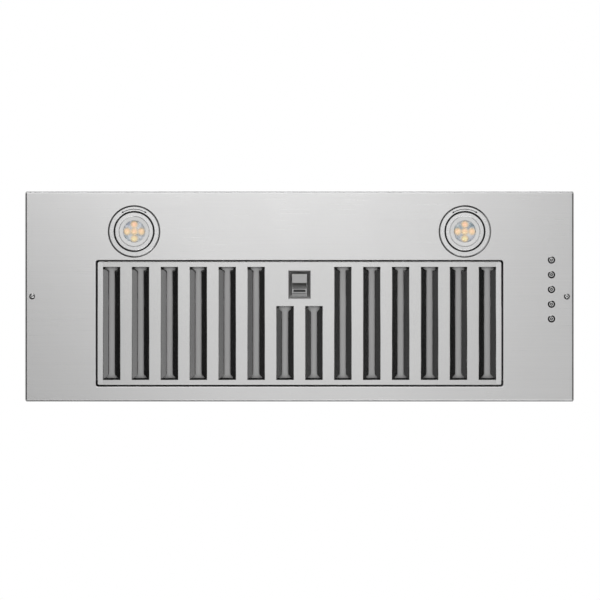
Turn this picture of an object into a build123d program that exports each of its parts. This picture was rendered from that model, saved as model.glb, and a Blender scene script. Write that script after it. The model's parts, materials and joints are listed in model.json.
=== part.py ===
from build123d import *
import os
from math import acos, cos, degrees, radians, sin, tan

# Range hood insert, in millimetres, as it hangs in a wall cabinet.
# X runs to the user's right, Y to the wall behind and Z up to the duct.
# The origin is the middle of the mounting flanges' top, which bears on the cabinet's underside.

# ---- driving dimensions -------------------------------------------------------------------

# face panel: a shallow pan with its edges turned up
panel_length = 873.0
panel_depth = 334.0
panel_drop = 9.0
panel_sheet = 1.0
panel_bend = 2.5
panel_corner = 3.0
cabinet_gap = 0.4
panel_screw_inset = 11.2
panel_screw_hole = 2.7
standoff_radius = 5.0

# filter opening, with a turned-up rim round it
side_strip = 112.75
front_strip = 109.3
rear_strip = 23.7
opening_corner = 4.0
rim_height = 13.0
opening_lip = 0.6

# baffle filter
filter_gap = 2.0
filter_height = 14.0
filter_sheet = 0.8
filter_corner = 3.0
slot_count = 14
slot_rib = 18.8643
slot_margin = 8.5
short_slots = 2
short_slot_start = 70.8
flap_run = 8.7
flap_rise = 6.5
channel_lip = 6.5
pivot_inset = 9.0
pivot_height = 5.5
pivot_radius = 2.5
pivot_reach = 5.6
pivot_fit = 0.05
bracket_sheet = 2.0
bracket_foot = 10.0
bracket_length = 18.0
bracket_height = 10.5
rim_hole = 4.0

# latch
recess_width = 36.0
recess_length = 45.3
recess_inset = 14.2
recess_depth = 8.3
recess_slope = 5.2
slide_width = 23.0
slide_front = 5.4
slide_plate = 14.8
slide_window = 9.2
slide_bar = 6.7
slide_sheet = 1.2
slide_level = 2.8
slide_travel = 5.0
grip_slot = 3.0
grip_margin = 1.9
latch_gap = 0.3
neck_width = 6.0
neck_length = 4.0
shoe_width = 12.0
shoe_length = 10.0
head_width = 14.0
head_length = 12.0
head_sheet = 1.0
tongue_sheet = 0.8
tongue_engagement = 4.3
spring_length = 18.0
spring_radius = 1.9
spring_wire = 0.6

# lamps
lamp_from_end = 173.5
lamp_from_front = 63.6
bezel_radius = 41.75
bezel_bore = 31.3
bezel_proud = 1.0
bezel_sheet = 1.0
neck_radius = 39.0
neck_rise = 12.0
lamp_fit = 0.05
ring_recess = 0.6
ring_wall = 1.5
ring_rise = 15.0
dish_radius = 23.5
dish_depth = 2.6
dish_bore = 17.5
lens_radius = 20.0
lens_sheet = 1.2
led_spread = 11.3
led_size = 5.0
led_height = 0.8
led_board_height = 7.0
fin_radius = 24.0
fin_rise = 16.0
fin_count = 9
fin_sheet = 1.6
can_radius = 41.0
can_rise = 46.0
can_flange = 44.0
can_sheet = 1.0

# push buttons
button_inset = 35.8
button_middle = -11.2
button_pitch = 23.4
button_count = 5
button_bezel_radius = 5.9
button_bezel_bore = 4.25
button_proud = 0.8
button_neck = 0.8
button_neck_rise = 5.0
cap_radius = 4.0
cap_proud = 1.0
cap_height = 4.5
cap_dish = 0.4
stem_radius = 1.5
stem_fit = 0.05
button_travel = 2.0
button_spring_solid = 3.0
button_spring_radius = 2.6
button_spring_bore = 1.8
switch_size = 9.0
switch_height = 5.0
board_width = 22.0
board_sheet = 1.6
housing_wall = 2.0
housing_rise = 26.0
housing_margin = 12.0

# liner box and its mounting flanges
body_sheet = 0.8
liner_end_inset = 17.5
liner_side_inset = 11.0
liner_height = 105.0
flange_reach = 15.0
side_flange_reach = 8.0
mount_hole = 2.75
mount_inset = 7.5
mount_from_corner = 36.0

# blower tower and duct collar
tower_length = 360.0
tower_height = 175.0
duct_radius = 75.0
duct_sheet = 1.0
duct_height = 50.0
duct_offset = 68.0
duct_flange = 92.0
duct_screw_circle = 84.0
duct_screws = 4
flap_level = 20.0
flap_rod_radius = 2.0
flap_fit = 0.05
flap_knuckle = 3.2
flap_gap = 0.6
flap_sheet = 0.8
flap_stop = 2.4

# blower
blower_front_gap = 16.2
blower_rise = 65.0
scroll_inner = 84.0
scroll_growth = 10.0
scroll_cutoff = 75.0
scroll_width = 120.0
scroll_sheet = 1.0
inlet_radius = 64.0
wheel_radius = 74.0
blade_chord = 14.0
blade_sheet = 1.2
blade_count = 28
blade_angle = 30.0
wheel_width = 104.0
wheel_disc = 2.0
hub_radius = 11.0
hub_length = 20.0
shaft_radius = 4.0
shaft_fit = 0.05
motor_radius = 40.0
motor_length = 85.0
motor_gap = 4.0
arm_width = 20.0
arm_sheet = 2.0
arm_overlap = 12.0
hanger_leg = 34.0
hanger_sheet = 1.5
hanger_width = 30.0
hanger_foot = 24.0
capacitor_radius = 18.0
capacitor_length = 60.0
capacitor_from_end = 60.0
capacitor_rise = 85.0
strap_width = 14.0
strap_sheet = 1.0

# supply wiring
junction_length = 100.0
junction_depth = 70.0
junction_height = 40.0
junction_end_gap = 18.2
junction_back_gap = 20.2
junction_sheet = 1.0
bushing_bore = 6.0
bushing_radius = 9.0
bushing_flange = 13.0
bushing_lip = 3.0
cable_radius = 3.0
cable_bend = 18.0
cable_lead = 40.0
cable_slant = 50.0
motor_loop = 54.5

# screws
screw_radius = 2.5
screw_head = 5.0
screw_head_height = 2.2
duct_screw_radius = 2.0
duct_screw_point = 4.0

# how far a cut runs past the faces it goes through
past = 3.0

# ---- levels and places worked out from them -------------------------------------------------

face = -panel_drop
panel_back = face + panel_sheet
opening_length = panel_length - 2 * side_strip
opening_depth = panel_depth - front_strip - rear_strip
opening_y = panel_depth / 2 - rear_strip - opening_depth / 2
opening_front = opening_y - opening_depth / 2
opening_rear = opening_y + opening_depth / 2
rim_top = face + rim_height
screw_x = panel_length / 2 - panel_screw_inset

filter_length = opening_length - 2 * filter_gap
filter_depth = opening_depth - 2 * filter_gap
filter_front = opening_front + filter_gap
filter_rear = opening_rear - filter_gap
filter_top = face + filter_height
filter_floor = face + filter_sheet
filter_ceiling = filter_top - filter_sheet
slot_pitch = filter_length / slot_count
slot_width = slot_pitch - slot_rib
pivot_y = filter_rear - pivot_inset
pivot_z = face + pivot_height
bracket_x = opening_length / 2 + panel_sheet

recess_front = filter_front + recess_inset
recess_y = recess_front + recess_length / 2
cup_floor = face + recess_depth
cup_top = cup_floor + filter_sheet
slide_y = recess_front + slide_front
slide_rear = slide_y + slide_plate + slide_window + slide_bar
slide_z = face + slide_level
head_z = cup_top + latch_gap
tongue_z = head_z + head_sheet
tongue_tip = opening_front - tongue_engagement
neck_y = recess_front + recess_slope + filter_sheet + latch_gap + neck_length / 2
head_front = neck_y - neck_length / 2 - 3 * latch_gap
head_rear = head_front + head_length

lamp_offset = panel_length / 2 - lamp_from_end
lamp_y = lamp_from_front - panel_depth / 2
ring_radius = bezel_bore - lamp_fit
ring_face = face - bezel_proud + ring_recess
ring_top = ring_face + ring_rise
lens_z = ring_face + dish_depth + lens_sheet
board_z = ring_face + led_board_height

button_x = panel_length / 2 - button_inset
button_places = [button_middle + button_pitch * (n - (button_count - 1) / 2) for n in range(button_count)]
cap_face = face - cap_proud
cap_back = cap_face + cap_height
switch_z = cap_back + button_spring_solid + button_travel
board_back = switch_z + switch_height

liner_x = panel_length / 2 - liner_end_inset
liner_y = panel_depth / 2 - liner_side_inset
inner_x = liner_x - body_sheet
inner_y = liner_y - body_sheet
mount_y = liner_y - mount_from_corner
tower_x = tower_length / 2
tower_top_z = liner_height + tower_height
tower_ceiling = tower_top_z - body_sheet
blower_y = scroll_inner + scroll_sheet + blower_front_gap - inner_y
blower_z = liner_height + blower_rise
duct_y = blower_y + duct_offset
duct_inner = duct_radius - duct_sheet
flap_z = tower_top_z + flap_level
flap_radius = duct_inner - flap_gap

scroll_half = scroll_width / 2
scroll_side_x = scroll_half + scroll_sheet
mouth_front = blower_y + scroll_inner * cos(radians(scroll_cutoff))
mouth_rear = blower_y + scroll_inner + 3 * scroll_growth
disc_x = -wheel_disc / 2
motor_x = disc_x - motor_gap
capacitor_x = tower_x - capacitor_from_end
capacitor_z = liner_height + capacitor_rise
junction_x = junction_end_gap + junction_length / 2 - inner_x
junction_y = inner_y - junction_back_gap - junction_depth / 2


# ---- shapes ---------------------------------------------------------------------------------

# A box from its low and high values along each axis.
def block(x, y, z):
    size = [high - low for low, high in (x, y, z)]
    middle = [(high + low) / 2 for low, high in (x, y, z)]
    return Pos(*middle) * Box(*size)


# An upright cylinder, or one along X, between two levels.
def disc(radius, low, high, x=0, y=0):
    return Pos(x, y, (low + high) / 2) * Cylinder(radius, high - low)


def bar(radius, low, high, y=0, z=0):
    return Pos((low + high) / 2, y, z) * Rot(0, 90, 0) * Cylinder(radius, high - low)


def barY(radius, low, high, x=0, z=0):
    return Pos(x, (low + high) / 2, z) * Rot(90, 0, 0) * Cylinder(radius, high - low)


# A tube with its axis upright.
def tube(outer, inner, low, high, x=0, y=0):
    return disc(outer, low, high, x, y) - disc(inner, low - past, high + past, x, y)


# A rectangle with rounded corners, extruded upright.
def rounded(length, depth, corner, low, high, x=0, y=0):
    return Pos(x, y, low) * extrude(RectangleRounded(length, depth, corner), high - low)


# A solid turned about an upright axis from (radius, height) points.
def turned(points, x=0, y=0):
    outline = Plane.XZ * Polygon(*points, align=None)
    return Pos(x, y, 0) * revolve(outline, Axis.Z)


# A frustum between two rectangles.
def frustum(low_size, high_size, low, high, y=0):
    bottom = Plane.XY.offset(low) * Rectangle(*low_size)
    top = Plane.XY.offset(high) * Rectangle(*high_size)
    return Pos(0, y, 0) * loft([bottom, top], ruled=True)


# A pan-head screw standing head down, with its shank going up.
def screw(x, y, seat, length, radius=screw_radius, head=screw_head):
    cap = disc(head, seat - screw_head_height, seat, x, y)
    cap = fillet(cap.edges().sort_by(Axis.Z)[0], screw_head_height * 0.6)
    return cap + disc(radius, seat, seat + length, x, y)


def write(name, shape):
    if isinstance(shape, list):
        shape = Compound(children=[piece.solids()[0] for piece in shape])
    shape.label = name
    export_step(shape, f"parts/{name}.step")


# ---- face panel -----------------------------------------------------------------------------

# The pan, its rimmed opening and the holes for lamps, buttons and screws.
def make_faceplate():
    outer = rounded(panel_length, panel_depth, panel_corner, face, -cabinet_gap)
    outer = fillet(outer.faces().sort_by(Axis.Z)[0].edges(), panel_bend)
    inner_corner = panel_corner - panel_sheet
    inner_length = panel_length - 2 * panel_sheet
    inner_depth = panel_depth - 2 * panel_sheet
    inner = rounded(inner_length, inner_depth, inner_corner, panel_back, 1)
    inner = fillet(inner.faces().sort_by(Axis.Z)[0].edges(), panel_bend - panel_sheet)
    pan = outer - inner
    rim_corner = opening_corner + panel_sheet
    rim_length = opening_length + 2 * panel_sheet
    rim_depth = opening_depth + 2 * panel_sheet
    rim = rounded(rim_length, rim_depth, rim_corner, panel_back - panel_sheet / 2, rim_top, 0, opening_y)
    pan = pan + rim
    pan = pan - rounded(
        opening_length, opening_depth, opening_corner, face - past, rim_top + past, 0, opening_y
    )
    lip = pan.edges().filter_by_position(Axis.Z, face, face).filter_by(
        lambda edge: abs(edge.center().X) < opening_length / 2 + 1
        and abs(edge.center().Y - opening_y) < opening_depth / 2 + 1
    )
    pan = fillet(lip, opening_lip)
    for side in (-1, 1):
        pan = pan - disc(neck_radius + lamp_fit, face - past, panel_back + past, side * lamp_offset, lamp_y)
        pan = pan - disc(panel_screw_hole, face - past, panel_back + past, side * screw_x, 0)
        pan = pan - bar(rim_hole, side * bracket_x - past, side * bracket_x + past, pivot_y, pivot_z)
    neck = button_bezel_bore + button_neck
    for y in button_places:
        pan = pan - disc(neck + stem_fit, face - past, panel_back + past, button_x, y)
    slot_half = head_width / 2 + latch_gap
    slot_z = (tongue_z - latch_gap, tongue_z + tongue_sheet + latch_gap)
    return pan - block((-slot_half, slot_half), (opening_front - past, opening_front + past), slot_z)


def make_faceplate_screws():
    return [screw(side * screw_x, 0, face, panel_drop - body_sheet) for side in (-1, 1)]


def make_standoffs():
    return [tube(standoff_radius, screw_radius, panel_back, -body_sheet, side * screw_x) for side in (-1, 1)]


# Angle brackets beside the rim, which carry the filter's pivot pins.
def make_pivot_brackets():
    brackets = []
    for side in (-1, 1):
        y = (pivot_y - bracket_length / 2, pivot_y + bracket_length / 2)
        wall = sorted((side * bracket_x, side * (bracket_x + bracket_sheet)))
        foot = sorted((side * bracket_x, side * (bracket_x + bracket_sheet + bracket_foot)))
        bracket = block(wall, y, (panel_back, panel_back + bracket_height))
        bracket = bracket + block(foot, y, (panel_back, panel_back + bracket_sheet / 2))
        reach = bracket_x + bracket_sheet / 2
        hole = bar(pivot_radius + pivot_fit, side * reach - past, side * reach + past, pivot_y, pivot_z)
        brackets.append(bracket - hole)
    return brackets


# ---- baffle filter --------------------------------------------------------------------------

# The slots of a sheet, as (middle x, start y, end y).
def lower_slots():
    slots = []
    for n in range(slot_count):
        place = n - (slot_count - 1) / 2
        start = filter_front + (short_slot_start if abs(place) < short_slots / 2 else slot_margin)
        slots.append((place * slot_pitch, start, filter_rear - slot_margin))
    return slots


def upper_slots():
    slots = []
    for n in range(1, slot_count):
        place = n - slot_count / 2
        start = filter_front + (short_slot_start if abs(place) < short_slots / 2 else slot_margin)
        slots.append((place * slot_pitch, start, filter_rear - slot_margin))
    return slots


# A flap as a closed solid: a sheet that leans in from the slot's edge.
def flap(x, start, end, level, side, rise):
    edge = x + side * slot_width / 2
    free = edge - side * flap_run
    thick = side * filter_sheet
    # the outline along the slot is a trapezium, seen in the leaning plane
    profile = Polygon(
        (edge, level),
        (free, level + rise),
        (free + thick, level + rise),
        (edge + thick, level),
        align=None,
    )
    leaning = Pos(0, start, 0) * extrude(Plane.XZ * profile, end - start, dir=(0, 1, 0))
    low = min(level, level + rise) - 1
    high = max(level, level + rise) + 1
    for corner, turn in ((start, 1), (end, -1)):
        wedge = Polygon(
            (free - side * past, corner - turn * past),
            (free - side * past, corner + turn * (flap_run + past)),
            (edge, corner),
            (edge, corner - turn * past),
            align=None,
        )
        leaning = leaning - Pos(0, 0, low) * extrude(wedge, high - low, dir=(0, 0, 1))
    return leaning


def slot_cut(slot, low, high):
    x, start, end = slot
    return block((x - slot_width / 2, x + slot_width / 2), (start, end), (low, high))


# The face sheet: a tray with turned-up edges, slots and the hole for the latch cup.
def make_filter_face():
    tray = rounded(filter_length, filter_depth, filter_corner, face, filter_top, 0, opening_y)
    tray = fillet(tray.faces().sort_by(Axis.Z)[0].edges(), filter_sheet)
    inner_corner = filter_corner - filter_sheet
    inner_length = filter_length - 2 * filter_sheet
    inner_depth = filter_depth - 2 * filter_sheet
    tray = tray - rounded(
        inner_length, inner_depth, inner_corner, filter_floor, filter_top + past, 0, opening_y
    )
    cuts = [slot_cut(slot, face - past, filter_floor + past) for slot in lower_slots()]
    flaps = []
    for x, start, end in lower_slots():
        for side in (-1, 1):
            flaps.append(flap(x, start, end, filter_floor - filter_sheet / 2, side, flap_rise))
    tray = tray - cuts + flaps
    tray = tray - latch_block(0)
    for side in (-1, 1):
        wall = side * filter_length / 2
        tray = tray - bar(pivot_radius, wall - past, wall + past, pivot_y, pivot_z)
    return tray - tongue_slot()


# The hole that the latch tongue passes through, in the filter's front edge.
def tongue_slot():
    half = head_width / 2 + latch_gap
    z = (tongue_z - latch_gap, tongue_z + tongue_sheet + latch_gap)
    return block((-half, half), (filter_front - past, filter_front + channel_lip), z)


# The upper sheet, whose ribs lie over the slots of the face sheet.
def make_filter_upper():
    corner = filter_corner - filter_sheet
    length = filter_length - 2 * filter_sheet
    depth = filter_depth - 2 * filter_sheet
    sheet = rounded(length, depth, corner, filter_ceiling, filter_top, 0, opening_y)
    cuts = [slot_cut(slot, filter_ceiling - past, filter_top + past) for slot in upper_slots()]
    flaps = []
    for x, start, end in upper_slots():
        for side in (-1, 1):
            flaps.append(flap(x, start, end, filter_ceiling + filter_sheet / 2, side, -flap_rise))
    return sheet - cuts + flaps


# A channel between the two sheets. hollow is the (x, y) of what is taken out between its lips.
def channel(x, y, hollow):
    shape = block(x, y, (filter_floor, filter_ceiling))
    return shape - block(*hollow, (filter_floor + filter_sheet, filter_ceiling - filter_sheet))


end_channel_x = (filter_length / 2 - filter_sheet - channel_lip, filter_length / 2 - filter_sheet)


def make_end_channels():
    y = (filter_front + filter_corner, filter_rear - filter_corner)
    open_y = (y[0] - past, y[1] + past)
    channels = []
    for side in (-1, 1):
        low, high = end_channel_x
        x = sorted((side * low, side * high))
        open_x = sorted((side * (low - past), side * (high - filter_sheet)))
        pin = bar(pivot_radius, x[0] - past, x[1] + past, pivot_y, pivot_z)
        channels.append(channel(x, y, (open_x, open_y)) - pin)
    return channels


def make_long_channels():
    x = (-end_channel_x[0], end_channel_x[0])
    open_x = (x[0] - past, x[1] + past)
    low = filter_front + filter_sheet
    high = filter_rear - filter_sheet
    front = channel(x, (low, low + channel_lip), (open_x, (low + filter_sheet, low + channel_lip + past)))
    rear = channel(x, (high - channel_lip, high), (open_x, (high - channel_lip - past, high - filter_sheet)))
    return [front - tongue_slot(), rear]


def make_pivot_pins():
    inner = end_channel_x[0]
    outer = filter_length / 2 + pivot_reach
    return [bar(pivot_radius, *sorted((side * inner, side * outer)), pivot_y, pivot_z) for side in (-1, 1)]


# ---- latch ----------------------------------------------------------------------------------

# The recess's outer shape, shrunk by a wall.
def latch_block(wall):
    low = (recess_width - 2 * wall, recess_length - 2 * wall)
    high = (low[0] - 2 * recess_slope, low[1] - 2 * recess_slope)
    top = cup_floor if wall else cup_top
    return frustum(low, high, face, top, recess_y)


# The cup that the finger goes into, with a slot in its floor and a tab behind the spring.
def make_latch_cup():
    cup = latch_block(0) - latch_block(filter_sheet)
    half = neck_width / 2 + latch_gap
    slot_y = (neck_y - neck_length / 2 - latch_gap, neck_y + neck_length / 2 + slide_travel + latch_gap)
    cup = cup - block((-half, half), slot_y, (cup_floor - past, cup_top + past))
    tab = head_rear + spring_length
    tab_top = cup_top + 2 * spring_radius
    width = (-2 * spring_radius, 2 * spring_radius)
    return cup + block(width, (tab, tab + filter_sheet), (cup_top, tab_top))


# The finger slide: a plate with a window and a slotted grip bar, a shoe under the cup's floor,
# and a neck that carries a head above the floor.
def make_latch_slide():
    half = slide_width / 2
    z = (slide_z, slide_z + slide_sheet)
    slide = block((-half, half), (slide_y, slide_rear), z)
    slide = fillet(slide.edges().filter_by(Axis.Z), slide_sheet)
    window = slide_y + slide_plate
    bar_y = window + slide_window
    grip = half - grip_margin
    slide = slide - block((-grip, grip), (window, bar_y), (z[0] - past, z[1] + past))
    grip_y = bar_y + (slide_bar - grip_slot) / 2
    slide = slide - block((-grip, grip), (grip_y, grip_y + grip_slot), (z[0] - past, z[1] + past))
    shoe_y = recess_front + recess_slope + filter_sheet + latch_gap
    shoe = block(
        (-shoe_width / 2, shoe_width / 2), (shoe_y, shoe_y + shoe_length), (z[1], cup_floor - latch_gap)
    )
    neck_x = (-neck_width / 2, neck_width / 2)
    neck = block(neck_x, (neck_y - neck_length / 2, neck_y + neck_length / 2), (z[1], head_z))
    head = block((-head_width / 2, head_width / 2), (head_front, head_rear), (head_z, tongue_z))
    return slide + shoe + neck + head


def make_latch_tongue():
    z = (tongue_z, tongue_z + tongue_sheet)
    tongue = block((-head_width / 2, head_width / 2), (tongue_tip, head_rear), z)
    return chamfer(tongue.edges().sort_by(Axis.Y)[:4].sort_by(Axis.Z)[0], tongue_sheet * 0.6)


def make_latch_spring():
    z = cup_top + spring_radius + latch_gap / 2
    rear = head_rear + spring_length
    outer = barY(spring_radius, head_rear, rear, 0, z)
    return outer - barY(spring_radius - spring_wire, head_rear - past, rear + past, 0, z)


# ---- lamps ----------------------------------------------------------------------------------

# The fixed bezel: a flat trim ring with a sleeve for the lamp and a neck through the panel.
def make_lamp_bezels():
    low = face - bezel_proud
    edge = bezel_proud * 0.7
    points = [
        (bezel_bore, low + edge / 2),
        (bezel_bore + edge / 2, low),
        (bezel_radius - edge, low),
        (bezel_radius, low + edge),
        (bezel_radius, face),
        (neck_radius, face),
        (neck_radius, face + neck_rise),
        (neck_radius - bezel_sheet, face + neck_rise),
        (neck_radius - bezel_sheet, face + bezel_sheet),
        (bezel_bore + bezel_sheet, face + bezel_sheet),
        (bezel_bore + bezel_sheet, face + neck_rise),
        (bezel_bore, face + neck_rise),
    ]
    return [turned(points, side * lamp_offset, lamp_y) for side in (-1, 1)]


# The cans that close the lamps off above the panel.
def make_lamp_cans():
    cans = []
    for side in (-1, 1):
        place = (side * lamp_offset, lamp_y)
        can = disc(can_radius, panel_back, panel_back + can_rise, *place)
        can = can + disc(can_flange, panel_back, panel_back + can_sheet, *place)
        hollow = disc(can_radius - can_sheet, panel_back - past, panel_back + can_rise - can_sheet, *place)
        cans.append(can - hollow)
    return cans


# The turning ring: a dished face that holds the lens, and a drum that runs in the bezel's sleeve.
def make_lamp_ring(x):
    drum = ring_radius - ring_wall
    seat = ring_face + dish_depth + lens_sheet
    points = [
        (dish_bore, ring_face + dish_depth),
        (dish_radius, ring_face + lens_sheet / 2),
        (dish_radius, ring_face + lens_sheet / 4),
        (dish_radius + lens_sheet / 4, ring_face),
        (ring_radius - lens_sheet / 2, ring_face),
        (ring_radius, ring_face + lens_sheet / 2),
        (ring_radius, ring_top),
        (drum, ring_top),
        (drum, seat),
        (dish_bore, seat),
    ]
    return turned(points, x, lamp_y)


def make_lamp_lens(x):
    return disc(lens_radius, lens_z, lens_z + lens_sheet, x, lamp_y)


def make_lamp_leds(x):
    places = [(0, 0)]
    for quarter in range(4):
        angle = radians(90 * quarter)
        places.append((led_spread * cos(angle), led_spread * sin(angle)))
    z = (board_z - led_height, board_z)
    return [disc(led_size, *z, x + dx, lamp_y + dy) for dx, dy in places]


# The heat sink: a solid plug inside the drum, with upright fins above it.
def make_heat_sink(x):
    drum = ring_radius - ring_wall
    sink = disc(drum, board_z, ring_top, x, lamp_y)
    fins = disc(fin_radius, ring_top, ring_top + fin_rise, x, lamp_y)
    pitch = 2 * fin_radius / fin_count
    for n in range(fin_count - 1):
        middle = x - fin_radius + pitch * (n + 1)
        gap = ((middle - (pitch - fin_sheet) / 2), (middle + (pitch - fin_sheet) / 2))
        fins = fins - block(
            gap, (lamp_y - fin_radius, lamp_y + fin_radius), (ring_top, ring_top + fin_rise + past)
        )
    return sink + fins


# ---- push buttons ---------------------------------------------------------------------------

def make_button_bezels():
    low = face - button_proud
    edge = button_proud * 0.6
    neck = button_bezel_bore + button_neck
    points = [
        (button_bezel_bore, low + edge / 2),
        (button_bezel_bore + edge / 2, low),
        (button_bezel_radius - edge, low),
        (button_bezel_radius, low + edge),
        (button_bezel_radius, face),
        (neck, face),
        (neck, face + button_neck_rise),
        (button_bezel_bore, face + button_neck_rise),
    ]
    return [turned(points, button_x, y) for y in button_places]


# A dished cap on a stem that slides in the switch body.
def make_button_cap(y):
    edge = cap_dish
    points = [
        (0, cap_face + cap_dish),
        (cap_radius * 0.6, cap_face + cap_dish * 0.6),
        (cap_radius - 2 * edge, cap_face),
        (cap_radius - edge, cap_face),
        (cap_radius, cap_face + edge),
        (cap_radius, cap_back),
        (stem_radius, cap_back),
        (stem_radius, board_back),
        (0, board_back),
    ]
    return turned(points, button_x, y)


def make_button_springs():
    springs = []
    for y in button_places:
        spring = tube(button_spring_radius, button_spring_bore, cap_back, switch_z, button_x, y)
        springs.append(spring)
    return springs


def make_switch_bodies():
    bodies = []
    half = switch_size / 2
    for y in button_places:
        body = block((button_x - half, button_x + half), (y - half, y + half), (switch_z, board_back))
        hole = disc(stem_radius + stem_fit, switch_z - past, board_back + past, button_x, y)
        bodies.append(body - hole)
    return bodies


board_y = (button_places[0] - housing_margin, button_places[-1] + housing_margin)
board_x = (button_x - board_width / 2, button_x + board_width / 2)


def make_switch_board():
    board = block(board_x, board_y, (board_back, board_back + board_sheet))
    for y in button_places:
        board = board - disc(2 * stem_radius, board_back - past, board_back + board_sheet + past, button_x, y)
    return board


# A cover over the switches, open towards the face panel, with the board held between its walls.
def make_switch_housing():
    x = (board_x[0] - housing_wall, board_x[1] + housing_wall)
    y = (board_y[0] - housing_wall, board_y[1] + housing_wall)
    top = panel_back + housing_rise
    housing = block(x, y, (panel_back, top))
    return housing - block(board_x, board_y, (panel_back - past, top - housing_wall))


# ---- liner box ------------------------------------------------------------------------------

def make_liner_wall(side):
    y = sorted((side * inner_y, side * liner_y))
    flange = sorted((side * inner_y, side * (liner_y + side_flange_reach)))
    wall = block((-inner_x, inner_x), y, (-body_sheet, liner_height))
    return wall + block((-inner_x, inner_x), flange, (-body_sheet, 0))


# An end wall with the flange that is screwed up to the cabinet.
def make_liner_end(side):
    wall = block(sorted((side * inner_x, side * liner_x)), (-liner_y, liner_y), (-body_sheet, liner_height))
    reach = sorted((side * inner_x, side * (liner_x + flange_reach)))
    end = wall + block(reach, (-liner_y, liner_y), (-body_sheet, 0))
    for y in (-mount_y, mount_y):
        end = end - disc(mount_hole, -body_sheet - past, 1, side * (liner_x + mount_inset), y)
    return end


def make_decks():
    decks = []
    for side in (-1, 1):
        x = sorted((side * tower_x, side * inner_x))
        deck = block(x, (-inner_y, inner_y), (liner_height - body_sheet, liner_height))
        if side < 0:
            hole = disc(bushing_radius, liner_height - past, liner_height + past, junction_x, junction_y)
            deck = deck - hole
        decks.append(deck)
    return decks


# ---- blower tower and duct collar -----------------------------------------------------------

def make_tower_wall(side):
    y = sorted((side * inner_y, side * liner_y))
    return block((-tower_x, tower_x), y, (liner_height, tower_top_z))


def make_tower_ends():
    ends = []
    for side in (-1, 1):
        x = sorted((side * (tower_x - body_sheet), side * tower_x))
        ends.append(block(x, (-inner_y, inner_y), (liner_height - body_sheet, tower_top_z)))
    return ends


def make_tower_top():
    half = tower_x - body_sheet
    top = block((-half, half), (-inner_y, inner_y), (tower_ceiling, tower_top_z))
    # its hole is the scroll's own mouth, so that no air comes round the scroll into the duct
    mouth = disc(duct_inner, tower_ceiling - past, tower_top_z + past, 0, duct_y)
    mouth = mouth & block((-scroll_half, scroll_half), (mouth_front, mouth_rear), (tower_ceiling - past, tower_top_z + past))
    top = top - mouth
    for x, y in duct_screw_places():
        top = top - disc(duct_screw_radius, tower_ceiling - past, tower_top_z + past, x, y)
    return top


def duct_screw_places():
    places = []
    for n in range(duct_screws):
        angle = radians(45 + 360 * n / duct_screws)
        places.append((duct_screw_circle * cos(angle), duct_y + duct_screw_circle * sin(angle)))
    return places


# The collar, with a stop for the flaps just under them and holes for their rod.
def make_duct_collar():
    top = tower_top_z + duct_height
    collar = tube(duct_radius, duct_inner, tower_top_z, top, 0, duct_y)
    collar = collar + tube(duct_flange, duct_inner, tower_top_z, tower_top_z + duct_sheet, 0, duct_y)
    stop_top = flap_z - flap_sheet / 2 - latch_gap
    stop_bore = duct_inner - flap_stop
    stop = tube(duct_inner + duct_sheet / 2, stop_bore, stop_top - duct_sheet, stop_top, 0, duct_y)
    clear = flap_knuckle + 2 * latch_gap
    stop = stop - bar(clear, -duct_radius, duct_radius, duct_y, flap_z)
    collar = collar + stop
    collar = collar - bar(flap_rod_radius, -duct_flange, duct_flange, duct_y, flap_z)
    for x, y in duct_screw_places():
        collar = collar - disc(duct_screw_radius, tower_top_z - past, tower_top_z + duct_sheet + past, x, y)
    return collar


def make_duct_screws():
    screws = []
    for x, y in duct_screw_places():
        seat = tower_top_z + duct_sheet
        head = disc(2 * duct_screw_radius, seat, seat + duct_screw_radius, x, y)
        head = fillet(head.edges().sort_by(Axis.Z)[-1], duct_screw_radius * 0.6)
        screws.append(head + disc(duct_screw_radius, tower_ceiling - duct_screw_point, seat, x, y))
    return screws


# A half-moon flap with rolled knuckles on the rod. side is -1 for the front one, 1 for the rear.
def make_backdraft_flap(side):
    low, high = flap_z - flap_sheet / 2, flap_z + flap_sheet / 2
    half = disc(flap_radius, low, high, 0, duct_y)
    beyond = sorted((duct_y, duct_y - side * duct_radius))
    half = half - block((-duct_radius, duct_radius), beyond, (low - past, high + past))
    knuckle_count = 4
    length = 2 * (duct_inner - flap_knuckle) / knuckle_count
    for n in range(knuckle_count):
        start = length * (n - knuckle_count / 2)
        own = (n % 2 == 0) == (side < 0)
        if own:
            half = half + bar(flap_knuckle, start + latch_gap, start + length - latch_gap, duct_y, flap_z)
        else:
            clear = sorted((duct_y - side, duct_y + side * (flap_knuckle + latch_gap)))
            x = (start - latch_gap, start + length + latch_gap)
            half = half - block(x, clear, (low - past, high + past))
    return half - bar(flap_rod_radius + flap_fit, -duct_radius, duct_radius, duct_y, flap_z)


# ---- blower ---------------------------------------------------------------------------------

# The scroll's inside outline in the (Y, Z) plane, grown by a wall: three arcs whose radius grows
# by a step each quarter turn, then the straight outlet up to the tower's top.
def scroll_outline(wall):
    first = (blower_y, blower_z)
    second = (blower_y + scroll_growth, blower_z)
    third = (blower_y + scroll_growth, blower_z + scroll_growth)
    radius = scroll_inner + wall
    cutoff_y = blower_y + scroll_inner * cos(radians(scroll_cutoff)) - wall
    cutoff = degrees(acos((cutoff_y - blower_y) / radius))
    with BuildSketch(Plane.YZ) as outline:
        with BuildLine():
            top = CenterArc(first, radius, cutoff, 180 - cutoff)
            CenterArc(second, radius + scroll_growth, 180, 90)
            rear = CenterArc(third, radius + 2 * scroll_growth, 270, 90)
            corner = ((rear @ 1).X, tower_ceiling)
            Line(rear @ 1, corner)
            Line(corner, (cutoff_y, tower_ceiling))
            Line((cutoff_y, tower_ceiling), top @ 0)
        make_face()
    return outline.sketch


def make_scroll_wrap():
    outer = extrude(scroll_outline(scroll_sheet), scroll_half, both=True)
    inner = extrude(scroll_outline(0), scroll_half + past, both=True)
    return outer - inner


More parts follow.
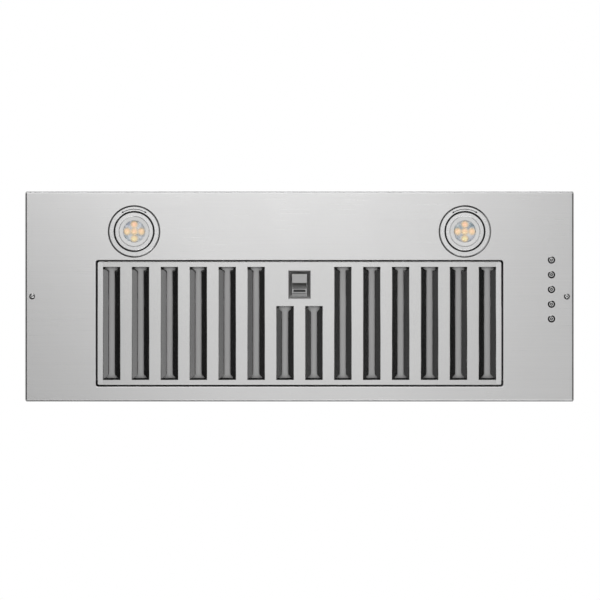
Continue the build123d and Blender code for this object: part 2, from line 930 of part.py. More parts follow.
def make_scroll_sides():
    plates = []
    for side in (-1, 1):
        x = sorted((side * scroll_half, side * scroll_side_x))
        plate = Pos(x[0], 0, 0) * extrude(scroll_outline(scroll_sheet), scroll_sheet, dir=(1, 0, 0))
        plates.append(plate - bar(inlet_radius, x[0] - past, x[1] + past, blower_y, blower_z))
    return plates


# Angles that hang the scroll from the tower's top.
def make_hangers():
    hangers = []
    y_mid = blower_y + scroll_growth + scroll_inner + scroll_growth
    y = (y_mid - hanger_width, y_mid)
    for side in (-1, 1):
        leg = sorted((side * scroll_side_x, side * (scroll_side_x + hanger_sheet)))
        foot = sorted((side * scroll_side_x, side * (scroll_side_x + hanger_foot)))
        hanger = block(leg, y, (tower_ceiling - hanger_leg, tower_ceiling))
        hangers.append(hanger + block(foot, y, (tower_ceiling - hanger_sheet, tower_ceiling)))
    return hangers


# The double-inlet wheel: a middle disc with its hub, an end ring each side, and the blades that
# stand between the disc and each ring.
def make_impeller_disc():
    wheel = bar(wheel_radius, disc_x, disc_x + wheel_disc, blower_y, blower_z)
    wheel = wheel + bar(hub_radius, disc_x, disc_x + hub_length, blower_y, blower_z)
    return wheel - bar(shaft_radius, disc_x - past, disc_x + hub_length + past, blower_y, blower_z)


def make_impeller_rings():
    half = wheel_width / 2
    inner = wheel_radius - blade_chord
    rings = []
    for side in (-1, 1):
        x = sorted((side * (half - wheel_disc), side * half))
        ring = bar(wheel_radius, *x, blower_y, blower_z)
        rings.append(ring - bar(inner, x[0] - past, x[1] + past, blower_y, blower_z))
    return rings


def make_impeller_blades():
    length = wheel_width / 2 - wheel_disc - wheel_disc / 2
    middle = (length + wheel_disc) / 2
    blades = []
    for side in (-1, 1):
        for n in range(blade_count):
            blade = Rot(blade_angle, 0, 0) * Box(length, blade_sheet, blade_chord * 0.98)
            blade = Pos(side * middle, 0, wheel_radius - blade_chord / 2 - wheel_disc / 2) * blade
            blades.append(Pos(0, blower_y, blower_z) * Rot(360 * n / blade_count, 0, 0) * blade)
    return blades


def make_shaft():
    tail = motor_x - motor_length + motor_gap
    return bar(shaft_radius, tail, disc_x + hub_length + motor_gap, blower_y, blower_z)


def make_motor_case():
    case = bar(motor_radius, motor_x - motor_length, motor_x, blower_y, blower_z)
    case = fillet(case.edges().filter_by(GeomType.CIRCLE), motor_gap)
    blind = motor_x - motor_length + motor_gap / 2
    return case - bar(shaft_radius + shaft_fit, blind, motor_x + past, blower_y, blower_z)


# The spider that carries the motor from the left side plate, across the inlet.
def make_motor_bracket():
    x = (-scroll_side_x - arm_sheet, -scroll_side_x)
    ring = bar(motor_radius + arm_sheet * 2, *x, blower_y, blower_z)
    reach = inlet_radius + arm_overlap
    for n in range(3):
        arm = block(x, (-arm_width / 2, arm_width / 2), (motor_radius, reach))
        ring = ring + Pos(0, blower_y, blower_z) * Rot(120 * n, 0, 0) * arm
    return ring - bar(motor_radius, x[0] - past, x[1] + past, blower_y, blower_z)


# The motor's capacitor, strapped to the tower's back wall.
def make_capacitor():
    y = inner_y - capacitor_radius
    z = (capacitor_z, capacitor_z + capacitor_length)
    can = disc(capacitor_radius, *z, capacitor_x, y)
    return fillet(can.edges().filter_by(GeomType.CIRCLE), strap_sheet)


def make_capacitor_strap():
    y = inner_y - capacitor_radius
    middle = capacitor_z + capacitor_length / 2
    z = (middle - strap_width / 2, middle + strap_width / 2)
    outer = capacitor_radius + strap_sheet
    strap = disc(outer, *z, capacitor_x, y)
    ears = (capacitor_x - outer - strap_width, capacitor_x + outer + strap_width)
    strap = strap + block((ears[0] + strap_width, ears[1] - strap_width), (y, inner_y), z)
    strap = strap + block(ears, (inner_y - strap_sheet, inner_y), z)
    hollow = disc(capacitor_radius, z[0] - past, z[1] + past, capacitor_x, y)
    sides = (capacitor_x - capacitor_radius, capacitor_x + capacitor_radius)
    hollow = hollow + block(sides, (y, inner_y + past), (z[0] - past, z[1] + past))
    behind = block((ears[0] - past, ears[1] + past), (inner_y, inner_y + outer), (z[0] - past, z[1] + past))
    return strap - hollow - behind


# ---- supply wiring --------------------------------------------------------------------------

# An open-bottomed box under the left deck, and the cover that closes it.
def make_junction_box():
    x = (junction_x - junction_length / 2, junction_x + junction_length / 2)
    y = (junction_y - junction_depth / 2, junction_y + junction_depth / 2)
    top = liner_height - body_sheet
    box = block(x, y, (top - junction_height, top))
    inner_x_range = (x[0] + junction_sheet, x[1] - junction_sheet)
    inner_y_range = (y[0] + junction_sheet, y[1] - junction_sheet)
    box = box - block(inner_x_range, inner_y_range, (top - junction_height - past, top - junction_sheet))
    return box - disc(bushing_radius, top - junction_sheet - past, top + past, junction_x, junction_y)


def make_junction_cover():
    x = (junction_x - junction_length / 2, junction_x + junction_length / 2)
    y = (junction_y - junction_depth / 2, junction_y + junction_depth / 2)
    bottom = liner_height - body_sheet - junction_height
    return block(x, y, (bottom - junction_sheet, bottom))


def make_supply_bushing():
    points = [
        (bushing_bore, liner_height - body_sheet - junction_sheet - bushing_lip),
        (bushing_radius, liner_height - body_sheet - junction_sheet - bushing_lip),
        (bushing_radius, liner_height),
        (bushing_flange, liner_height),
        (bushing_flange, liner_height + bushing_lip),
        (bushing_bore, liner_height + bushing_lip),
    ]
    return turned(points, junction_x, junction_y)


# A round cable through the given points, with an arc of the named bend at each corner.
def cable(points):
    points = [Vector(*point) for point in points]
    edges = []
    start = points[0]
    for before, corner, after in zip(points, points[1:], points[2:]):
        arriving = (corner - before).normalized()
        leaving = (after - corner).normalized()
        back = cable_bend * tan(radians(arriving.get_angle(leaving)) / 2)
        arc_start = corner - arriving * back
        arc_end = corner + leaving * back
        edges.append(Edge.make_line(start, arc_start))
        edges.append(Edge.make_tangent_arc(arc_start, arriving, arc_end))
        start = arc_end
    edges.append(Edge.make_line(start, points[-1]))
    path = Wire(edges)
    section = Plane(points[0], z_dir=points[1] - points[0]) * Circle(cable_radius)
    return sweep(section, path)


# Cables from the junction box: to the switches, to each lamp and up to the motor.
def make_wiring():
    level = liner_height - body_sheet - junction_height / 2
    box_right = junction_x + junction_length / 2
    box_front = junction_y - junction_depth / 2
    wall_y = inner_y - cable_radius
    can_top = panel_back + can_rise
    housing_top = panel_back + housing_rise
    to_switches = [
        (box_right, junction_y, level),
        (box_right + cable_lead, junction_y, level),
        (box_right + cable_lead + cable_slant, wall_y, level),
        (button_x, wall_y, level),
        (button_x, button_places[-1], level),
        (button_x, button_places[-1], housing_top),
    ]
    to_left_lamp = [
        (junction_x, box_front, level),
        (junction_x, lamp_y, level),
        (-lamp_offset, lamp_y, level),
        (-lamp_offset, lamp_y, can_top),
    ]
    to_right_lamp = [
        (button_x, button_places[0], housing_top),
        (button_x, button_places[0], level),
        (button_x, lamp_y, level),
        (lamp_offset, lamp_y, level),
        (lamp_offset, lamp_y, can_top),
    ]
    motor_end = motor_x - motor_length
    motor_cable_y = junction_y - junction_depth / 4
    to_motor = [
        (box_right, motor_cable_y, level),
        (motor_end - motor_loop, motor_cable_y, level),
        (motor_end - motor_loop, blower_y, blower_z),
        (motor_end, blower_y, blower_z),
    ]
    return [cable(route) for route in (to_switches, to_left_lamp, to_right_lamp, to_motor)]


# ---- all the pieces -------------------------------------------------------------------------

os.makedirs("parts", exist_ok=True)
write("faceplate", make_faceplate())
write("faceplate_screws", make_faceplate_screws())
write("faceplate_standoffs", make_standoffs())
write("filter_pivot_brackets", make_pivot_brackets())
write("filter_face_sheet", make_filter_face())
write("filter_upper_sheet", make_filter_upper())
write("filter_end_channels", make_end_channels())
write("filter_long_channels", make_long_channels())
write("filter_pivot_pins", make_pivot_pins())
write("latch_cup", make_latch_cup())
write("latch_slide", make_latch_slide())
write("latch_tongue", make_latch_tongue())
write("latch_spring", make_latch_spring())
write("lamp_bezels", make_lamp_bezels())
write("lamp_cans", make_lamp_cans())
for name, x in (("left", -lamp_offset), ("right", lamp_offset)):
    write(f"{name}_lamp_ring", make_lamp_ring(x))
    write(f"{name}_lamp_lens", make_lamp_lens(x))
    write(f"{name}_lamp_leds", make_lamp_leds(x))
    write(f"{name}_lamp_heat_sink", make_heat_sink(x))
write("button_bezels", make_button_bezels())
for number, y in enumerate(button_places, 1):
    write(f"button_{number}", make_button_cap(y))
write("button_springs", make_button_springs())
write("switch_bodies", make_switch_bodies())
write("switch_board", make_switch_board())
write("switch_housing", make_switch_housing())
write("liner_front", make_liner_wall(-1))
write("liner_back", make_liner_wall(1))
write("liner_ends", [make_liner_end(-1), make_liner_end(1)])
write("liner_decks", make_decks())
write("tower_walls", [make_tower_wall(-1), make_tower_wall(1)])
write("tower_ends", make_tower_ends())
write("tower_top", make_tower_top())
write("duct_collar", make_duct_collar())
write("duct_screws", make_duct_screws())
write("flap_rod", bar(flap_rod_radius, -duct_radius, duct_radius, duct_y, flap_z))
write("backdraft_flap_front", make_backdraft_flap(-1))
write("backdraft_flap_rear", make_backdraft_flap(1))
write("scroll_wrap", make_scroll_wrap())
write("scroll_sides", make_scroll_sides())
write("blower_hangers", make_hangers())
write("impeller_disc", make_impeller_disc())
write("impeller_rings", make_impeller_rings())
write("impeller_blades", make_impeller_blades())
write("shaft", make_shaft())
write("motor_case", make_motor_case())
write("motor_bracket", make_motor_bracket())
write("capacitor", make_capacitor())
write("capacitor_strap", make_capacitor_strap())
write("junction_box", make_junction_box())
write("junction_cover", make_junction_cover())
write("supply_bushing", make_supply_bushing())
write("wiring", make_wiring())
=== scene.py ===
import json
from math import atan2, cos, pi, radians, sin, tan

import bmesh
import bpy
from mathutils import Matrix, Vector


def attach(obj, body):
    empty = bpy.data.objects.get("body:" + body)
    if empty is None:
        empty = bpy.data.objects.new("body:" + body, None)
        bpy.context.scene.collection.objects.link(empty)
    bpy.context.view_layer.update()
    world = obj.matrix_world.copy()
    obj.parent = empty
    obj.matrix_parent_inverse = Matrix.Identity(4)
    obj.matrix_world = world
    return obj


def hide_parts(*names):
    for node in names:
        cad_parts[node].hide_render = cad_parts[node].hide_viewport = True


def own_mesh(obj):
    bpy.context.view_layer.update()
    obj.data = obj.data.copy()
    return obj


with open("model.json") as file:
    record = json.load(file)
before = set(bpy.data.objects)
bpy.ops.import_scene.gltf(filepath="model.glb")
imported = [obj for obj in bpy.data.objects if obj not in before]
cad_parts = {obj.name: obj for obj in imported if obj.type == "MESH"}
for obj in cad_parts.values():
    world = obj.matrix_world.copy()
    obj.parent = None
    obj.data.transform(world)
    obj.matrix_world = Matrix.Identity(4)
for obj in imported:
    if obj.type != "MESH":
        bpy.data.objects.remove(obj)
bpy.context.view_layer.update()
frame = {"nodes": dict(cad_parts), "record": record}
nodes = frame["nodes"]
mm = 0.001
faceLevel = -9.0               # mm, the underside of the face panel
print("frame loaded:", len(nodes), "nodes")

# the camera hangs far under the face panel and looks straight up, with the front edge at the top
camera = {
    "aim": (0.8, 5.6),         # mm, what the middle of the picture looks at
    "distance": 7.0,           # m below the face
    "widthSeen": 954.1,        # mm across the picture at the face
    "sensor": 36.0,
    "clip": (0.1, 60.0),
}


def makeCamera(facts):
    data = bpy.data.cameras.new("camera")
    data.sensor_width = facts["sensor"]
    data.lens = facts["sensor"] * facts["distance"] / (facts["widthSeen"] * mm)
    data.clip_start, data.clip_end = facts["clip"]
    holder = bpy.data.objects.new("camera", data)
    bpy.context.scene.collection.objects.link(holder)
    x, y = facts["aim"]
    holder.location = (x * mm, y * mm, faceLevel * mm - facts["distance"])
    holder.rotation_euler = (pi, 0, 0)
    bpy.context.scene.camera = holder


makeCamera(camera)
print("camera placed")


# materials: a value in a node tree, whose sums add Math nodes

class Value:
    def __init__(self, shader, socket):
        self.shader, self.socket = shader, socket

    def sum(self, operation, first, second):
        node = self.shader.add("ShaderNodeMath", {"operation": operation}, {0: first, 1: second})
        return Value(self.shader, node.outputs[0])

    def __add__(self, other):
        return self.sum("ADD", self, other)

    def __sub__(self, other):
        return self.sum("SUBTRACT", self, other)

    def __mul__(self, other):
        return self.sum("MULTIPLY", self, other)

    def __truediv__(self, other):
        return self.sum("DIVIDE", self, other)

    def __pow__(self, other):
        return self.sum("POWER", self, other)

    def __lt__(self, other):
        return self.sum("LESS_THAN", self, other)

    def __rsub__(self, other):
        return self.sum("SUBTRACT", other, self)

    def __rtruediv__(self, other):
        return self.sum("DIVIDE", other, self)

    __radd__ = __add__
    __rmul__ = __mul__


class Shader:
    def __init__(self, name, owner=None):
        self.owner = owner or bpy.data.materials.new(name)
        self.owner.use_nodes = True
        self.tree = self.owner.node_tree
        self.tree.nodes.clear()
        kind = "ShaderNodeOutputWorld" if owner else "ShaderNodeOutputMaterial"
        self.output = self.tree.nodes.new(kind)

    # any node: its settings first, then the values or links of its sockets
    def add(self, kind, settings=None, sockets=None):
        node = self.tree.nodes.new(kind)
        for key, value in (settings or {}).items():
            if key == "stops":
                ramp = node.color_ramp
                while len(ramp.elements) < len(value):
                    ramp.elements.new(0.5)
                for element, (place, colour) in zip(ramp.elements, value):
                    element.position, element.color = place, colour
            else:
                setattr(node, key, value)
        for key, value in (sockets or {}).items():
            if isinstance(value, Value):
                self.tree.links.new(value.socket, node.inputs[key])
            else:
                node.inputs[key].default_value = value
        return node

    def value(self, kind, settings=None, sockets=None, output=0):
        return Value(self, self.add(kind, settings, sockets).outputs[output])

    def mix(self, factor, first, second):
        return self.value("ShaderNodeMix", {"data_type": "RGBA"}, {0: factor, 6: first, 7: second}, 2)

    def vector(self, operation, first, second):
        return self.value("ShaderNodeVectorMath", {"operation": operation}, {0: first, 1: second})

    def length(self, vector):
        return self.value("ShaderNodeVectorMath", {"operation": "LENGTH"}, {0: vector}, "Value")

    def place(self):
        return self.value("ShaderNodeTexCoord", output="Object")

    # object coordinates, scaled along each axis
    def stretched(self, scale):
        return self.value("ShaderNodeMapping", None, {"Vector": self.place(), "Scale": scale})

    def noise(self, vector, scale=1.0, detail=2.0, rough=0.5):
        sockets = {"Vector": vector, "Scale": scale, "Detail": detail, "Roughness": rough}
        return self.value("ShaderNodeTexNoise", None, sockets, "Fac")

    # a value moved from one range to another, held at its ends
    def between(self, value, low, high, to=(0.0, 1.0), kind="LINEAR"):
        sockets = {"Value": value, 1: low, 2: high, 3: to[0], 4: to[1]}
        return self.value("ShaderNodeMapRange", {"interpolation_type": kind}, sockets)

    def bump(self, height, strength, distance):
        sockets = {"Height": height, "Strength": strength, "Distance": distance}
        return self.value("ShaderNodeBump", None, sockets)

    def finish(self, surface):
        self.tree.links.new(surface.socket, self.output.inputs["Surface"])
        return self.owner

    def principled(self, **sockets):
        named = {key.replace("_", " "): value for key, value in sockets.items()}
        return self.finish(self.value("ShaderNodeBsdfPrincipled", None, named))


def grey(level, warm=0.0):
    return (level + warm, level, level - warm, 1.0)


# scratches and bands per metre, across the brushing and along it
brushing = {
    "fine": (2600.0, 14.0), "broad": (420.0, 3.0), "depth": 0.00002, "warm": 0.002,
    "bendTop": -0.0067,        # m, where a bend's lines stop and the folded wall begins
    "lineEdge": 0.0002,        # m, half the width over which a line fades
}


# brushed sheet: long fine scratches along one axis, over a slower cloudiness, with painted lines of
# highlight or shade where given
def brushedSteel(name, tone=0.74, rough=0.34, along=0, contrast=0.03, lines=()):
    shader = Shader(name)
    fine, broad = [brushing["fine"][0]] * 3, [brushing["broad"][0]] * 3
    fine[along], broad[along] = brushing["fine"][1], brushing["broad"][1]
    scratches = shader.noise(shader.stretched(fine), detail=3.0, rough=0.6)
    bands = shader.noise(shader.stretched(broad), detail=2.0)
    cloud = shader.noise(shader.place(), scale=9.0, detail=2.0)
    grain = scratches * 0.6 + bands * 0.4
    darker, lighter = (grey(tone + change, brushing["warm"]) for change in (-contrast, contrast))
    colour = shader.mix(shader.between(grain, 0.3, 0.7), darker, lighter)
    roughness = rough + (grain - 0.5) * 0.16 + (cloud - 0.5) * 0.05
    # a painted line of highlight or shade is (axis, mirrored, low, high, how far it runs along x, tone,
    # roughness)
    for axis, mirrored, low, high, reach, level, dull in lines:
        split = shader.add("ShaderNodeSeparateXYZ", None, {0: shader.place()})
        x, across = Value(shader, split.outputs["X"]), Value(shader, split.outputs[axis])
        if mirrored:
            across = across.sum("ABSOLUTE", across, 0.0)
        away = across - (low + high) / 2
        half, edge = (high - low) / 2, brushing["lineEdge"]
        mask = shader.between(
            away.sum("ABSOLUTE", away, 0.0), half - edge, half + edge, (1.0, 0.0), "SMOOTHSTEP"
        )
        onBend = Value(shader, split.outputs["Z"]) < brushing["bendTop"]
        mask = mask * (x.sum("ABSOLUTE", x, 0.0) < reach) * onBend
        # each line's painted highlight or shade laid over the brushed colour
        colour = shader.mix(mask, colour, grey(level))
        roughness = roughness + (dull - rough) * mask
    return shader.principled(
        Base_Color=colour, Metallic=1.0, Roughness=roughness,
        Normal=shader.bump(grain, 0.35, brushing["depth"]),
    )


# turned steel: fine rings about the piece's own axis
def turnedSteel(name, centres, tone=0.76, rough=0.26):
    shader = Shader(name)
    place = shader.place()
    nearest = None
    for x, y in centres:
        away = shader.vector("SUBTRACT", place, (x * mm, y * mm, 0.0))
        flat = shader.vector("MULTIPLY", away, (1.0, 1.0, 0.0))
        radius = shader.length(flat)
        nearest = radius if nearest is None else nearest.sum("MINIMUM", nearest, radius)
    turns = {"W": nearest * 5200.0, "Detail": 2.0}
    rings = shader.value("ShaderNodeTexNoise", {"noise_dimensions": "1D"}, turns)
    smudge = shader.noise(place, scale=160.0, detail=3.0)
    colour = shader.mix(shader.between(rings, 0.35, 0.65), grey(tone - 0.03), grey(tone + 0.03))
    return shader.principled(
        Base_Color=colour, Metallic=1.0,
        Roughness=rough + (rings - 0.5) * 0.12 + (smudge - 0.5) * 0.08,
        Normal=shader.bump(rings, 0.25, 0.00002),
    )


# hot-dip sheet: frosty crystals a centimetre across, each with its own tone, and rows of spot welds
welds = {"levels": (0.0075, 0.0985, 0.1125, 0.2735), "pitch": 0.036, "radius": 0.0024}


def galvanised(name, tone=0.62, rough=0.45, size=95.0, matt=0.45, spots=False):
    shader = Shader(name)
    place = shader.place()
    crystals = shader.value("ShaderNodeTexVoronoi", None, {"Vector": place, "Scale": size}, "Color")
    shade = shader.value("ShaderNodeSeparateColor", None, {0: crystals})
    cloud = shader.noise(place, scale=60.0, detail=3.0)
    frost = shader.noise(place, scale=900.0, detail=3.0, rough=0.7)
    stain = shader.noise(place, scale=7.0, detail=4.0)
    level = shade * 0.45 + cloud * 0.3 + stain * 0.25
    darker, lighter = grey(tone - 0.05, -0.006), grey(tone + 0.05, -0.004)
    colour = shader.mix(shader.between(level, 0.2, 0.8), darker, lighter)
    height = frost * 0.3 + shade * 0.3
    if spots:
        split = shader.add("ShaderNodeSeparateXYZ", None, {0: place})
        x, y, z = (Value(shader, split.outputs[n]) for n in range(3))
        along = (x + y) / welds["pitch"]
        side = (along.sum("FRACT", along, 0.0) - 0.5) * welds["pitch"]
        dents = None
        for weldLevel in welds["levels"]:
            up = z - weldLevel
            away = (side * side + up * up) ** 0.5
            dent = shader.between(away, welds["radius"] * 0.5, welds["radius"], kind="SMOOTHSTEP")
            dents = dent if dents is None else dents * dent
        height = height + dents * 3.0
        colour = shader.mix(dents, grey(tone - 0.2), colour)
    return shader.principled(
        Base_Color=colour, Metallic=1.0 - matt,
        Roughness=rough + (level - 0.5) * 0.18 + (frost - 0.5) * 0.05,
        Normal=shader.bump(height, 0.2, 0.0001),
    )


# moulded plastic or paint: a fine even texture with the odd duller patch
def moulded(name, colour, rough=0.5, grain=700.0, depth=0.00004, coat=0.0, metallic=0.0, shine=0.5):
    shader = Shader(name)
    place = shader.place()
    texture = shader.noise(place, scale=grain, detail=2.0)
    patch = shader.noise(place, scale=25.0, detail=3.0)
    darker = tuple(c * 0.86 for c in colour[:3]) + (1.0,)
    lighter = tuple(min(1.0, c * 1.08) for c in colour[:3]) + (1.0,)
    return shader.principled(
        Base_Color=shader.mix(texture * 0.5 + patch * 0.5, darker, lighter), Metallic=metallic,
        Roughness=rough + (patch - 0.5) * 0.15, Coat_Weight=coat, Specular_IOR_Level=shine,
        Normal=shader.bump(texture, 0.3, depth),
    )


lampPlaces = [(-263.0, -103.4), (263.0, -103.4)]
buttonX = 400.7
buttonYs = [-58.0, -34.6, -11.2, 12.2, 35.6]

# painted light along the edges: a dark line painted at the panel's side bends, painted shade and a
# painted highlight along its front bend, a painted highlight and painted shade along its rear bend, a
# painted highlight at the rear of its opening, and painted highlights along the filter's rear edge and
# its ends
faceEdgeShadeAndHighlights = [
    ("X", True, 0.4334, 0.4350, 1.0, 0.18, 0.30),
    ("Y", False, -0.1680, -0.1662, 1.0, 0.50, 0.90),
    ("Y", False, -0.1662, -0.1640, 1.0, 1.00, 0.30),
    ("Y", False, 0.1642, 0.1661, 1.0, 0.98, 0.30),
    ("Y", False, 0.1661, 0.1680, 1.0, 0.12, 0.60),
    ("Y", False, 0.1431, 0.1448, 0.3236, 0.98, 0.30),
]
# painted highlights along the filter's rear edge and along its ends
filterEdgeHighlights = [
    ("Y", False, 0.1391, 0.1407, 0.3236, 0.78, 0.21),
    ("X", True, 0.3128, 0.3205, 1.0, 0.74, 0.21),
]

finishes = {
    "face_steel": brushedSteel("faceSteel", tone=0.76, rough=0.30, contrast=0.02, lines=faceEdgeShadeAndHighlights),
    "filter_steel": brushedSteel("filterSteel", tone=0.65, rough=0.21, contrast=0.02, lines=filterEdgeHighlights),
    "zinc_sheet": galvanised("zincSheet", spots=True),
    "bright_steel": turnedSteel("brightSteel", [(-425.3, 0.0), (425.3, 0.0)], tone=0.8, rough=0.18),
    "bezel_steel": turnedSteel("bezelSteel", lampPlaces, tone=0.7, rough=0.2),
    "button_steel": turnedSteel("buttonSteel", [(buttonX, y) for y in buttonYs], tone=0.78, rough=0.16),
    "button_bezel": turnedSteel("buttonBezel", [(buttonX, y) for y in buttonYs], tone=0.26, rough=0.12),
    "heat_sink": moulded(
        "castAluminium", (0.62, 0.63, 0.65, 1.0), rough=0.45, grain=400.0, depth=0.0001, metallic=1.0
    ),
    "collar_zinc": galvanised("collarZinc"),
    "wheel_steel": galvanised("wheelSteel", tone=0.58, rough=0.4, size=140.0, matt=0.25),
    "motor_paint": moulded("motorPaint", (0.05, 0.05, 0.055, 1.0), rough=0.42, coat=0.3),
    "white_plastic": moulded("whitePlastic", (0.82, 0.82, 0.8, 1.0), rough=0.5),
    "black_plastic": moulded("blackPlastic", (0.03, 0.03, 0.03, 1.0), rough=0.5),
    "board_green": moulded("boardLacquer", (0.05, 0.22, 0.11, 1.0), rough=0.3, grain=1200.0, coat=0.4),
    "cable_grey": moulded("cableSheath", (0.16, 0.16, 0.17, 1.0), rough=0.55, grain=1500.0),
    "mill_steel": brushedSteel("millSteel", tone=0.62, rough=0.5, along=1, contrast=0.02),
    # a near-black used as painted shade: at the slots' back ends and corners and in the button caps'
    # grooves
    "painted_shade": moulded("paintedShade", (0.008, 0.008, 0.008, 1.0), rough=0.7, shine=0.08),
    "cup_steel": brushedSteel("cupSteel", tone=0.74, rough=0.6, along=1, contrast=0.02),
    "slide_steel": brushedSteel("slideSteel", tone=0.52, rough=0.38, along=1, contrast=0.02),
    "spring_steel": brushedSteel("springSteel", tone=0.55, rough=0.28, along=2),
}

# every CAD node takes the finish of its own slot
for entry in frame["record"]["subparts"]:
    part = nodes[entry["node"]]
    part.data.materials.clear()
    slotFinish = finishes.get(entry["material_slot"])
    if slotFinish:
        part.data.materials.append(slotFinish)

# and four take another than their slot's; the filter's pivot pins are painted dark, as painted shade in
# the dark slit round the filter
ownFinish = {
    "filter_upper_sheet": "mill_steel", "latch_cup": "cup_steel",
    "filter_pivot_pins": "motor_paint", "latch_tongue": "motor_paint",
}
for name, finish in ownFinish.items():
    nodes[name].data.materials[0] = finishes[finish]
print("finishes made:", len(finishes))


# how a piece is put together: a face that is this level, or larger, stays flat
levelNormal = 0.9995
largeFace = 60 * mm * mm
touch = 0.01                   # mm, how near counts as the same place
mergeReach = 0.001             # mm, corners this near are one, as at the poles of a turned piece


def closedUp(mesh):
    bmesh.ops.remove_doubles(mesh, verts=mesh.verts, dist=mergeReach)
    bmesh.ops.recalc_face_normals(mesh, faces=mesh.faces)


# lengths in the bmesh are in millimetres until here
def makePiece(name, mesh, body, finish, stands=(), smooth=35.0, modifiers=()):
    bmesh.ops.scale(mesh, vec=(mm, mm, mm), verts=mesh.verts)
    data = bpy.data.meshes.new(name)
    for face in mesh.faces:
        face.smooth = abs(face.normal.z) < levelNormal and face.calc_area() < largeFace
    for edge in mesh.edges:
        if len(edge.link_faces) == 2 and edge.calc_face_angle(0.0) > radians(smooth):
            edge.smooth = False
    mesh.to_mesh(data)
    mesh.free()
    data.materials.append(finish)
    piece = bpy.data.objects.new(name, data)
    bpy.context.scene.collection.objects.link(piece)
    for kind, settings in modifiers:
        modifier = piece.modifiers.new(kind.lower(), kind)
        for key, value in settings.items():
            setattr(modifier, key, value)
    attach(piece, body)
    if stands:
        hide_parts(*stands)
    return piece


# a closed outline of (radius, height) points, turned about an upright axis
def turnProfile(mesh, points, x, y, steps=96, closed=True):
    corners = [mesh.verts.new((x + radius, y, z)) for radius, z in points]
    pairs = list(zip(corners, corners[1:])) + ([(corners[-1], corners[0])] if closed else [])
    edges = [mesh.edges.new(pair) for pair in pairs if pair[0] is not pair[1]]
    bmesh.ops.spin(
        mesh, geom=corners + edges, cent=(x, y, 0), axis=(0, 0, 1), angle=2 * pi, steps=steps,
        use_merge=True,
    )


def bevelEdges(mesh, edges, offset, segments):
    bmesh.ops.bevel(
        mesh, geom=edges, offset=offset, segments=segments, profile=0.5, affect="EDGES", material=-1
    )


# a box whose low and high corners are given, with its edges rounded
def addBlock(mesh, x, y, z, edge=0.0, segments=2):
    size = Vector((x[1] - x[0], y[1] - y[0], z[1] - z[0]))
    middle = Vector((x[0] + x[1], y[0] + y[1], z[0] + z[1])) / 2
    matrix = Matrix.Translation(middle) @ Matrix.Diagonal((*size, 1.0))
    made = bmesh.ops.create_cube(mesh, size=1.0, matrix=matrix)
    if edge:
        corners = set(made["verts"])
        edges = [e for e in mesh.edges if e.verts[0] in corners]
        bevelEdges(mesh, edges, edge, segments)


# edges drawn out by one offset, which gives the new corners and edges
def drawOut(mesh, edges, offset):
    made = bmesh.ops.extrude_edge_only(mesh, edges=edges)["geom"]
    moved = [v for v in made if isinstance(v, bmesh.types.BMVert)]
    bmesh.ops.translate(mesh, vec=offset, verts=moved)
    return moved, [e for e in made if isinstance(e, bmesh.types.BMEdge)]


def cutAcross(mesh, place, normal):
    everything = list(mesh.verts) + list(mesh.edges) + list(mesh.faces)
    bmesh.ops.bisect_plane(mesh, geom=everything, dist=0.0001, plane_co=place, plane_no=normal)


# the filter's face sheet: slots with leaning flaps, round bends and a turned-up edge

faceSheet = {
    "length": 643.5, "depth": 197.0, "y": 42.8,
    "level": faceLevel, "top": 5.0, "sheet": 0.8,
    "slots": 14, "slotWidth": 27.1, "margin": 8.5, "shortStart": 70.8,
    "flapRun": 7.9, "flapRise": 4.6, "bend": 1.6, "bendSteps": 4, "hem": (0.8, 1.7),
    "lip": 0.45, "lipSteps": 3, "rearLip": (2.9, 1.6),
    # a dark patch in each corner of a slot, painted shade where the corner lies in shadow, as (inwards
    # from the slot's side, along from its end)
    "gap": [(-0.3, -0.3), (5.6, -0.3), (5.0, 1.8), (2.6, 2.9), (0.8, 2.2)],
    "gapRise": 0.35,
    "cup": (36.0, -41.5, 3.8),   # width, front and back of the hole for the finger cup
    "corner": 3.0, "edgeBend": 1.1,
}


